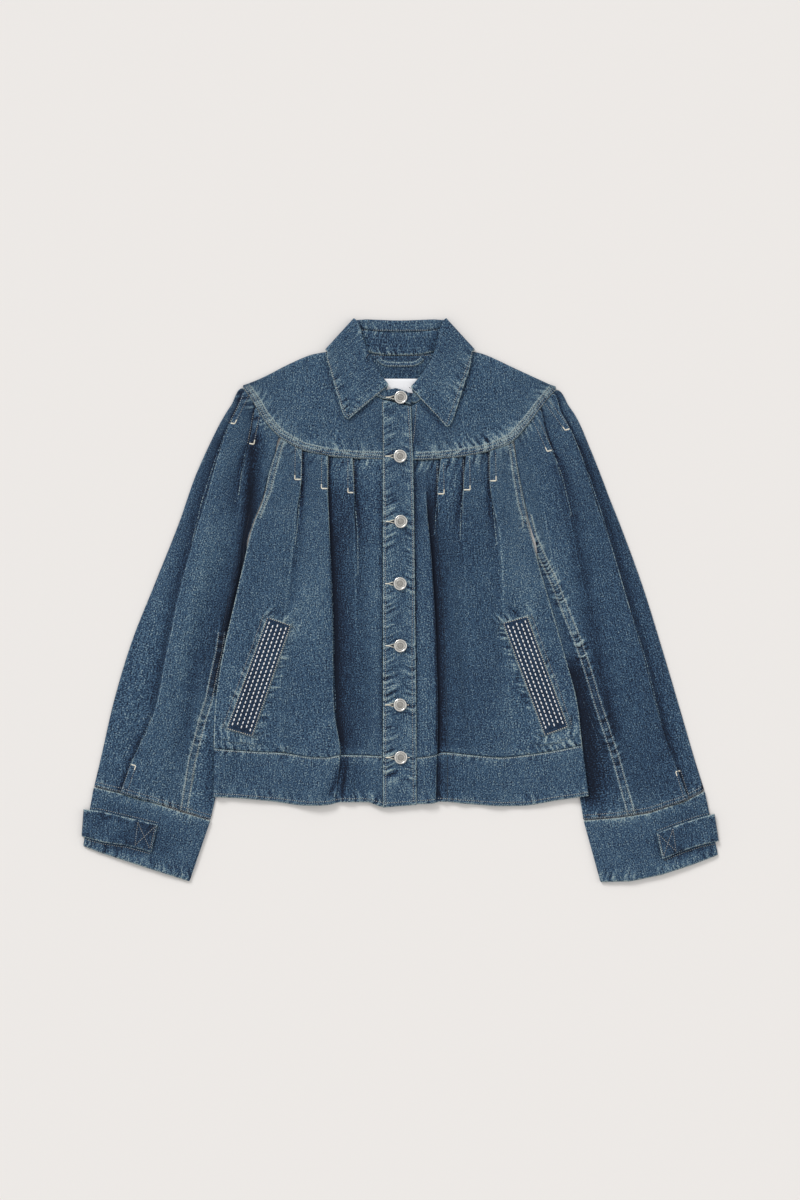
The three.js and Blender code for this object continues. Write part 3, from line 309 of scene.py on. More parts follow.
COLLAR_FRONTS = {
    "right": [
        {"neck": (-22, 261.3), "roll": (-15.6, 278), "edge": (-67, 234.5), "level": 5.9},
        {"neck": (-29, 264), "roll": (-20, 284), "edge": (-72, 238), "level": 6},
        {"neck": (-42, 270.5), "roll": (-28, 295), "edge": (-79, 258), "level": 6},
        {"neck": (-55, 284), "roll": (-38, 312), "edge": (-86, 282), "level": 6},
        {"neck": (-63, 301), "roll": (-46.5, 332), "edge": (-92, 303), "level": 6},
        {"neck": (-66.5, 322), "roll": (-53, 352), "edge": (-95, 315), "level": 6},
    ],
    "left": [
        {"neck": (20.8, 256), "roll": (15, 274.5), "edge": (60.5, 224.5), "level": 3.8},
        {"neck": (28, 260.5), "roll": (22, 283), "edge": (66, 228), "level": 5.2},
        {"neck": (42, 269), "roll": (31.5, 295), "edge": (74, 250), "level": 6},
        {"neck": (55, 284), "roll": (42, 312), "edge": (83.5, 280), "level": 6},
        {"neck": (63, 301), "roll": (48.5, 332), "edge": (91, 303), "level": 6},
        {"neck": (66.5, 322), "roll": (53.5, 352), "edge": (93, 316), "level": 6},
    ],
}
COLLAR_SIDE = {"neck": (-63, 338.5), "roll": (-58, 362.5), "edge": (-94.5, 322.5)}
COLLAR_BACK = [
    {"neck": (-54, 326.8), "roll": (-45, 363), "edge": (-72, 313)},
    {"neck": (-33, 319.8), "roll": (-27, 362.4), "edge": (-38, 307)},
    {"neck": (0, 317.8), "roll": (0, 361.6), "edge": (0, 305)},
]
TAB_STATIONS = [
    {"neck": (14, 253.6), "top": (15.4, 262.5), "level": 5.6},
    {"neck": (6, 256), "top": (9, 270.6), "level": 5.6},
    {"neck": (-8, 259.5), "top": (-5, 275.2), "level": 5.6},
]
UNDER_TAB = {"neck": (-8, 259.5), "top": (-6, 272), "level": 3.6}
NECK_FEET = {"right": [-22.4, -31, -42, -54, -66, -76], "left": [13.9, 30, 44, 56, 68, 78]}
YOKE_SHOULDERS = [
    {"top": (204, 278.8), "level": 2.1, "foot": 203.7, "low": 2.4},
    {"top": (196, 281.6), "level": 2.1, "foot": 197, "low": 2.8},
    {"top": (184, 286.4), "level": 2.1, "foot": 186, "low": 3.4},
    {"top": (170, 293), "level": 2.1, "foot": 174, "low": 3.9},
    {"top": (149.5, 303), "level": 2.2, "foot": 155, "low": 4.4},
    {"top": (118, 317.6), "level": 2.8, "foot": 130, "low": 4.6},
    {"top": (94, 322.4), "level": 3.9, "foot": 108, "low": 4.6},
    {"top": (66, 335.6), "level": 5, "foot": 90, "low": 4.6},
]
LOOP_PATH = [(-29, 314.5), (-24, 309), (-17, 306.5), (0, 306), (17, 306.5), (24, 309), (29, 314.5)]
LABEL_PATH = [(0, 287.5), (0, 280), (0, 272), (0, 264)]
BUTTON_CENTRES = [
    (0.9, 263.1), (0.1, 186.7), (1, 101.9), (0, 21.2), (0.5, -59.4), (0.1, -136.2), (1, -204.5),
]
print(len(FRONTS), "fronts and", len(SLEEVE_LINES), "sleeves")

# %% [markdown]
# ## One cloth from a grid of points
# A panel could be made flat and left to a cloth simulation, which finds its own folds. These
# folds are known, so each panel is a grid of points in its final place instead. The grid gets a
# thickness and a rim, so it closes. It also keeps where the weave runs, in metres along the cloth,
# the tone of each point, from deep unfaded indigo and painted shade at -1 to rubbed pale and
# painted light at 1, how far it is from a pale pressed edge, and where it lies beside the nearest
# seam. The finish draws with these.

# %% The cloth maker
COLLECTION = bpy.context.scene.collection
CUTS = {}
FAR_FROM_EDGE = 30.0  # millimetres, beyond which nothing is drawn from an edge
THIN_EDGE = 0.6  # how thick a cloth is at its edges, as a share

def mesh_object(name, points, faces):
    mesh = bpy.data.meshes.new(name)
    mesh.from_pydata(np.asarray(points).tolist(), [], faces if isinstance(faces, list) else faces.tolist())
    mesh.polygons.foreach_set("use_smooth", [True] * len(mesh.polygons))
    made = bpy.data.objects.new(name, mesh)
    COLLECTION.objects.link(made)
    return made

def keep_attribute(mesh, name, values):
    kind, key = ("FLOAT_VECTOR", "vector") if np.ndim(values) == 2 else ("FLOAT", "value")
    kept = mesh.attributes.new(name, kind, "POINT")
    kept.data.foreach_set(key, np.ascontiguousarray(values, np.float32).ravel())

def outward(grid, up, ring):
    down = np.gradient(grid, axis=0)
    if ring:
        across = (np.roll(grid, -1, axis=1) - np.roll(grid, 1, axis=1)) / 2
    else:
        across = np.gradient(grid, axis=1)
    n = np.cross(down, across) * up
    return n / np.maximum(np.linalg.norm(n, axis=2), 1e-9)[..., None]

def from_edges(grid, rims):
    """Distance along the cloth from its finished edges: top, bottom, left or right of the grid."""
    widths = np.linalg.norm(np.diff(grid, axis=1), axis=2)
    lengths = np.linalg.norm(np.diff(grid, axis=0), axis=2)
    across = np.concatenate([np.zeros((len(grid), 1)), np.cumsum(widths, axis=1)], axis=1)
    down = np.concatenate([np.zeros((1, grid.shape[1])), np.cumsum(lengths, axis=0)])
    known = {"top": down, "bottom": down[-1:] - down, "left": across, "right": across[:, -1:] - across}
    return np.minimum(np.min([known[rim] for rim in rims] + [np.full(down.shape, FAR_FROM_EDGE)],
                             axis=0), FAR_FROM_EDGE)

def cloth(node, grid, thickness, worn, up=1, ring=False, normals=None, rims=()):
    """A closed shell on both sides of a grid of rows and columns, for the named solid."""
    grid = np.asarray(grid, float)
    rows, columns = grid.shape[:2]
    n = outward(grid, up, ring) if normals is None else normals
    half = np.full((rows, columns), thickness / 2)
    half[[0, -1]] *= THIN_EDGE
    if not ring:
        half[:, [0, -1]] *= THIN_EDGE
    out = n * half[..., None]
    points = np.concatenate([(grid + out).reshape(-1, 3), (grid - out).reshape(-1, 3)])
    cells = columns if ring else columns - 1
    i, j = [a.ravel() for a in np.meshgrid(np.arange(rows - 1), np.arange(cells), indexing="ij")]
    corners = [(i, j), (i + 1, j), (i + 1, j + 1), (i, j + 1)]
    quads = [[(a, b, 0) for a, b in corners], [(a, b, 1) for a, b in corners[::-1]]]
    def close_edge(a0, b0, a1, b1):
        quads.append([(a0, b0, 0), (a0, b0, 1), (a1, b1, 1), (a1, b1, 0)])
    k, m = np.arange(rows - 1), np.arange(cells)
    close_edge(0 * m, m + 1, 0 * m, m)
    close_edge(0 * m + rows - 1, m, 0 * m + rows - 1, m + 1)
    if not ring:
        close_edge(k, 0 * k, k + 1, 0 * k)
        close_edge(k + 1, 0 * k + columns - 1, k, 0 * k + columns - 1)
    def gathered(which):
        return np.concatenate([np.stack([np.broadcast_to(quad[c][which], quad[0][0].shape)
                                         for c in range(4)], axis=1)
                               for quad in quads])
    a, b, side = [gathered(which) for which in range(3)]
    if up < 0:
        a, b, side = a[:, ::-1], b[:, ::-1], side[:, ::-1]
    made = mesh_object(f"{node}_cloth", points * MM, side * rows * columns + a * columns + b % columns)
    widths = np.linalg.norm(np.diff(grid, axis=1, append=grid[:, :1]), axis=2)
    lengths = np.linalg.norm(np.diff(grid, axis=0), axis=2)
    u = np.r_[0, np.cumsum(widths.mean(axis=0))]
    v = np.r_[0, np.cumsum(lengths.mean(axis=1))]
    weave = made.data.uv_layers.new(name="weave")
    weave.data.foreach_set("uv", (np.stack([u[b], v[a]], axis=2) * MM).ravel())
    # The kept tone: wear, painted shade in folds and gaps, and painted light on some raised parts
    keep_attribute(made.data, "worn", np.tile(np.asarray(worn, float).ravel(), 2))
    piece = node + "_" if node.endswith("_front") else node.replace("_front", "")
    rim = to_pressed(piece, grid[..., 0], grid[..., 1], from_edges(grid, rims))
    keep_attribute(made.data, "rim", np.tile(rim.ravel(), 2))
    keep_attribute(made.data, "seam", np.tile(beside_seams(piece, grid[..., 0], grid[..., 1]), (2, 1)))
    wide = widths[:, :cells].sum(axis=1).max()
    long = lengths.sum(axis=0).max()
    CUTS[node] = (wide * MM, long * MM, float((widths[:-1, :cells] * lengths[:, :cells]).sum() * MM * MM))
    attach(made, "root")
    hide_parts(node)
    print(node, grid.shape[:2], "triangles", 2 * len(a), "cut", [round(c, 3) for c in CUTS[node]])
    return made

# %% [markdown]
# ## Sewing lines
# A row of stitches shrinks the cloth under it, so in the wash the cloth beside it puckers into
# short slanting ridges. Their tops rub pale and their valleys stay dark. The ridges come from one
# list of sewing lines, which get their thread later. A second list has the pressed edges: where
# the layers of a seam end under the cloth, or a pleat is folded, a thin pale line is rubbed.

# %% Where the jacket is sewn
YOKE_RIGHT, YOKE_LEFT = YOKE_SEAM[:9], YOKE_SEAM[9:]
ARMHOLES = {
    "right": [(-156.8, 211.9), (-161.2, 196.7), (-166.4, 177.3), (-170.3, 162.5), (-174.7, 144.3),
              (-180.7, 129.5), (-188.1, 110.1)],
    "left": [(147.2, 205.7), (150.8, 192.4), (153.9, 166.8), (158.3, 141.7), (161.2, 123.5),
             (165.9, 110.1), (167.3, 95.2)],
}
FELLED = {
    "right": [(-231.7, -42.5), (-234.9, -67.3), (-241.8, -97.2), (-248.3, -130), (-256.5, -155.2),
              (-264.8, -188.5), (-269.8, -206.7), (-280.8, -274.3)],
    "left": [(165.9, 110.5), (173.3, 81.9), (185.2, 54.6), (198.6, 27.3), (215.2, -14.3),
             (230.1, -50.7), (243.1, -88.4), (254.8, -127.4), (266.5, -163.8), (279.5, -202.8),
             (300.3, -277.6)],
}
CUFF_SEAMS = {side: table["seam"] for side, table in CUFFS.items()}
CUFF_HEMS = {side: beside(smooth_line(table["hem"]), -SIDES[side] * 4.5) for side, table in CUFFS.items()}
HEM_ROW = [(x, y + 4.5) for x, y in HEM_EDGE]
LEAF_EDGES = [
    [(-96.9, 323.7), (-71.5, 242.5), (-67, 237.9), (-18.2, 276.9)],
    [(95.5, 326.3), (60.2, 227.5), (12.3, 276.2)],
]
NECK_ROWS = [[(-49.4, 350.5), (49.4, 350.5)], [(-42.9, 317.9), (44.2, 317.9)]]
PLACKET_ROWS = [[(-22.9, 257.4), (-19.2, 130), (-18.5, -269.1)],
                [(10.4, 253.5), (14, 182), (16.9, 52), (15.5, -65), (17.3, -263.9)]]
YOKE_HALVES = [YOKE_RIGHT, YOKE_LEFT]
WELT_SIDES = [("topInner", "bottomInner", 0.7, 9), ("topOuter", "bottomOuter", 0.5, 7),
              ("bottomInner", "bottomOuter", 0.8, 12), ("topInner", "topOuter", 0.8, 12)]

def sewn(where, lines, depth, reach, shift=0):
    """Lines on the named pieces, moved sideways, how deep they pucker and how far to each side."""
    lines = [smooth_line(line) for line in lines]
    return [(where, beside(line, shift) if shift else line, depth, reach) for line in lines]

PUCKERS = [
    *sewn("yoke", YOKE_HALVES, 0.5, 11, 9),
    *sewn("_front_", YOKE_HALVES, 0.6, 13, -2),
    *sewn("sleeve", YOKE_HALVES, 0.5, 12, -2),
    *sewn("_front_", ARMHOLES.values(), 0.5, 10),
    *sewn("sleeve", FELLED.values(), 0.9, 8),
    *sewn("_front_ panel", [HEM_SEAM[:3], HEM_SEAM[-3:]], 0.65, 10),
    *sewn("_front_ panel", [HEM_SEAM[2:7], HEM_SEAM[7:-2]], 0.3, 7),
    *sewn("band", [HEM_SEAM[:7], HEM_SEAM[7:]], 0.55, 8),
    *sewn("band", [HEM_ROW], 0.5, 8),
    *sewn("placket", PLACKET_ROWS[:1], 0.8, 14),
    *sewn("placket", PLACKET_ROWS[1:], 0.45, 10),
    *sewn("sleeve", [CUFF_SEAMS[side] for side in SIDES], 0.6, 9),
    *[entry for side in SIDES for entry in sewn("cuff", [CUFF_SEAMS[side]], 0.6, 9, -SIDES[side] * 6)],
    *sewn("cuff", [CUFF_HEMS[side] for side in SIDES], 0.6, 9),
    *sewn("collar", LEAF_EDGES + NECK_ROWS, 0.6, 9),
]
for start, end, depth, reach in WELT_SIDES:
    PUCKERS += sewn("_front_", [[welt[start], welt[end]] for welt in WELTS.values()], depth, reach)
FOLD_EDGES = [
    [(-135.8, 200.2), (-127.7, 182), (-128.7, 156), (-131.3, 117), (-136.5, 71.5)],
    [(-94.9, 188.5), (-94.1, 144.3), (-91.8, 85), (-88.1, 25.4), (-85.8, -55.9), (-85.8, -98.8),
     (-83.2, -141.7)],
    [(-62, 182), (-59.8, 139.1), (-55.2, 89.7), (-54.6, 32.5)],
    [(48.6, 178.1), (48.9, 137.8), (46.8, 114.4), (44.9, 84.5)],
    [(82.7, 183.3), (82.7, 143), (79.3, 119.6), (78, 78)], [(116.2, 191.1), (116.2, 154.7),
                                                            (122.2, 107.9), (126.1, 71.5)],
    [(-221.8, 230.1), (-239.2, 184.6), (-256.8, 130), (-270.4, 72.8)],
    [(-198.2, 204.1), (-204.1, 174.2), (-210.6, 130)],
    [(221, 223), (237.5, 183.3), (260, 117.7), (276.9, 61.1), (294.4, 0), (319.8, -80.6),
     (339.3, -161.2)], [(198.1, 195), (210.6, 159.9), (222.3, 110.5)],
    [(-322.4, -153.4), (-334.4, -180.2), (-349.7, -213.2)],
]
# The pieces it lies on, a pressed edge in the cloth, how sharp it is
PRESSED = [
    *[("yoke", beside(smooth_line(line), 9.5), 1.7) for line in YOKE_HALVES],
    *[("yoke", beside(smooth_line(line), 5.6), 2.8) for line in YOKE_HALVES],
    *[("_front_", beside(smooth_line(ARMHOLES[side]), -SIDES[side] * 8), 1.6) for side in SIDES],
    *[("sleeve", beside(smooth_line(FELLED[side]), offset), 1.6) for side in SIDES
      for offset in (-4.6, 4.6)],
    *[("cuff", beside(smooth_line(CUFF_SEAMS[side]), -SIDES[side] * 8.5), 1.4) for side in SIDES],
    *[("_front_ sleeve", smooth_line(line), 2.2) for line in FOLD_EDGES],
]
print(len(PUCKERS), "puckered lines")

# %% Puckers at any points of the jacket
def nearest(x, y, line):
    """Distance from points to a line, the place along it, and the side."""
    line = np.asarray(line, float)
    at = places_on(line)
    k = np.empty(len(x), int)
    for first in range(0, len(x), 20000):
        part = slice(first, first + 20000)
        k[part] = ((x[part, None] - line[:, 0]) ** 2 + (y[part, None] - line[:, 1]) ** 2).argmin(axis=1)
    k = np.clip(k, 1, len(line) - 2) if len(line) > 2 else np.zeros(len(x), int)
    way = line[np.minimum(k + 1, len(line) - 1)] - line[np.maximum(k - 1, 0)]
    way = unit(way)
    dx, dy = x - line[k, 0], y - line[k, 1]
    ahead = dx * way[:, 0] + dy * way[:, 1]
    off = way[:, 0] * dy - way[:, 1] * dx
    past = np.maximum(0, np.maximum(-(at[k] + ahead), at[k] + ahead - at[-1]))
    return np.hypot(off, past), at[k] + ahead, off

PRESSED_REACH = 12
SLANT = 0.45  # how far a pucker runs along its seam, for each millimetre away from it
PUCKER_SIZE = 4.6
SEAMS_APART = 300  # shifts each seam's pattern, so that no two are alike

def lies_on(where, piece):
    return any(word in piece for word in where.split())

def within(x, y, line, reach):
    """Which points lie in the box around a line."""
    low, high = np.min(line, axis=0) - reach, np.max(line, axis=0) + reach
    return np.flatnonzero((x > low[0]) & (x < high[0]) & (y > low[1]) & (y < high[1]))

def to_pressed(piece, x, y, rim):
    """The distance to a finished edge, or the signed one to a nearer pressed edge."""
    shape, x, y, rim = x.shape, x.ravel(), y.ravel(), rim.ravel().copy()
    for where, line, sharp in PRESSED:
        near = within(x, y, line, PRESSED_REACH)
        if len(near) == 0 or not lies_on(where, piece):
            continue
        away, _, off = nearest(x[near], y[near], line)
        off = np.where(away > np.abs(off) + 0.5, away + 2, off) * sharp
        closer = (np.abs(off) < np.abs(rim[near])) & (away < PRESSED_REACH)
        rim[near[closer]] = off[closer]
    return rim.reshape(shape)

def beside_seams(piece, x, y):
    """For the nearest seam: the place along it, the distance from it, and how much it puckers."""
    x, y = x.ravel(), y.ravel()
    kept = np.zeros((len(x), 3))
    nearest_yet = np.full(len(x), 1.0)
    for number, (where, line, depth, reach) in enumerate(PUCKERS):
        near = within(x, y, line, 2 * reach)
        if len(near) == 0 or not lies_on(where, piece):
            continue
        away, place, off = nearest(x[near], y[near], line)
        share = away / (1.7 * reach)
        closer = share < nearest_yet[near]
        near, share, place, off = near[closer], share[closer], place[closer], off[closer]
        nearest_yet[near] = share
        lively = np.clip(0.75 + 0.6 * drift(place, off, 34, 60, number + 9), 0, 1.6)
        strength = 1.7 * depth * lively * (1 - ease(share, 0.1, 1))
        kept[near] = np.stack([place + SLANT * np.abs(off) + SEAMS_APART * number, off, strength], axis=1)
    return kept

def puckered(piece, x, y):
    """Height of the puckers and how much they lighten and darken the cloth."""
    shape, x, y = x.shape, x.ravel(), y.ravel()
    height, worn = np.zeros(len(x)), np.zeros(len(x))
    for number, (where, line, depth, reach) in enumerate(PUCKERS):
        near = within(x, y, line, 2.5 * reach)
        if len(near) == 0 or not lies_on(where, piece):
            continue
        away, place, off = nearest(x[near], y[near], line)
        slant = place + SLANT * np.abs(off) + 2.5 * drift(place, off, 25, 25, number)
        ridges = drift(slant, off, PUCKER_SIZE, 30, number + 3)
        lively = 0.65 + 0.5 * drift(place, off, 34, 60, number + 9)
        fade = np.exp(-(away / reach) ** 2)
        height[near] += depth * ridges * lively * fade
        worn[near] += (0.5 * ridges * lively + 0.2) * fade
    return height.reshape(shape), worn.reshape(shape)

# %% [markdown]
# ## Main creases
# Besides its pleats the jacket has a few soft folds of its own: drags that run from the pleats
# into the body, hollows beside the pockets, bends in the sleeves. Each is listed as a soft ridge
# or trough with a slight bow, because a random field never puts them where the pull of the cloth
# does.

# %% Creases, each from a start to an end with a bow, a half width and a height
CREASES = {
    "front": [
        ((-112, 60), (-108, -80), 6, 13, 1.1), ((-70, 120), (-66, -60), -4, 9, -0.9),
        ((-45, 60), (-40, -150), 5, 9, 1.0), ((-160, 60), (-185, -60), 8, 15, 1.2),
        ((-110, -90), (-118, -185), -5, 14, -0.9), ((-215, -60), (-222, -170), 4, 12, 0.9),
        ((-143, -30), (-112, 12), 6, 7, 0.9), ((-175, -20), (-196, 22), -6, 8, 0.8),
        ((-188, -180), (-146, -196), 4, 6, 0.9), ((-226, -168), (-236, -190), 2, 6, 0.8),
        ((62, 120), (70, -40), 5, 10, 1.0), ((80, 60), (92, -120), 7, 12, 1.1),
        ((104, 80), (112, -90), -5, 10, -0.9), ((120, -60), (138, -185), 6, 12, 1.0),
        ((66, -60), (72, -185), -4, 11, 0.9), ((160, 50), (192, -70), -7, 14, 1.2),
        ((132, -28), (112, 20), -6, 7, 0.9), ((168, -18), (186, 24), 5, 8, 0.8),
        ((186, -178), (150, -196), -4, 6, 0.9), ((-85, -150), (-112, -196), -4, 8, 0.9),
    ],
    "sleeve": [
        ((-252, 110), (-330, -170), 14, 16, 1.4), ((-225, 60), (-268, -150), -10, 13, -1.1),
        ((-300, 40), (-372, -190), 10, 14, 1.1), ((-330, -120), (-350, -225), -6, 10, -0.9),
        ((-235, -60), (-258, -215), 8, 10, 0.9), ((-296, -150), (-318, -240), 6, 9, 0.8),
        ((-215, 150), (-222, 60), -5, 9, 0.9),
        ((250, 110), (322, -150), -14, 16, 1.4), ((222, 60), (268, -130), 10, 13, -1.1),
        ((296, 40), (366, -190), -10, 14, 1.1), ((330, -120), (352, -225), 6, 10, -0.9),
        ((274, -196), (273, -272), -12, 8, 1.4), ((300, -150), (322, -250), -6, 9, 0.8),
        ((205, 170), (216, 70), 5, 9, 0.9),
    ],
    "band": [
        ((-150, -200), (-156, -262), 2, 9, 0.7), ((-96, -206), (-112, -266), 2, 8, 0.8),
        ((-60, -204), (-56, -262), 3, 8, -0.7), ((80, -204), (76, -262), -3, 9, -0.6),
        ((130, -206), (128, -266), 2, 10, 0.8), ((190, -198), (198, -260), -2, 10, 0.7),
    ],
    "back": [
        ((-120, 150), (-140, -150), 12, 16, 1.4), ((-40, 160), (-46, -170), -8, 14, 1.6),
        ((44, 160), (50, -160), 9, 15, 1.5), ((118, 140), (142, -150), -12, 17, 1.4),
        ((-90, -20), (-30, -120), 15, 12, -0.7), ((80, 30), (20, -90), -14, 12, -0.7),
    ],
}

def creased(x, y, group):
    """Height of the main creases of a group of pieces."""
    height = np.zeros_like(x)
    for start, end, bow, wide, tall in CREASES[group]:
        start, end = np.array(start, float), np.array(end, float)
        way = (end - start) / np.linalg.norm(end - start)
        long = np.linalg.norm(end - start)
        dx, dy = x - start[0], y - start[1]
        t = (dx * way[0] + dy * way[1]) / long
        off = way[0] * dy - way[1] * dx - bow * np.sin(np.pi * np.clip(t, 0, 1))
        ends = ease(t, -0.12, 0.22) * (1 - ease(t, 0.72, 1.12))
        height += tall * np.exp(-(off / wide) ** 2) * ends
    return height
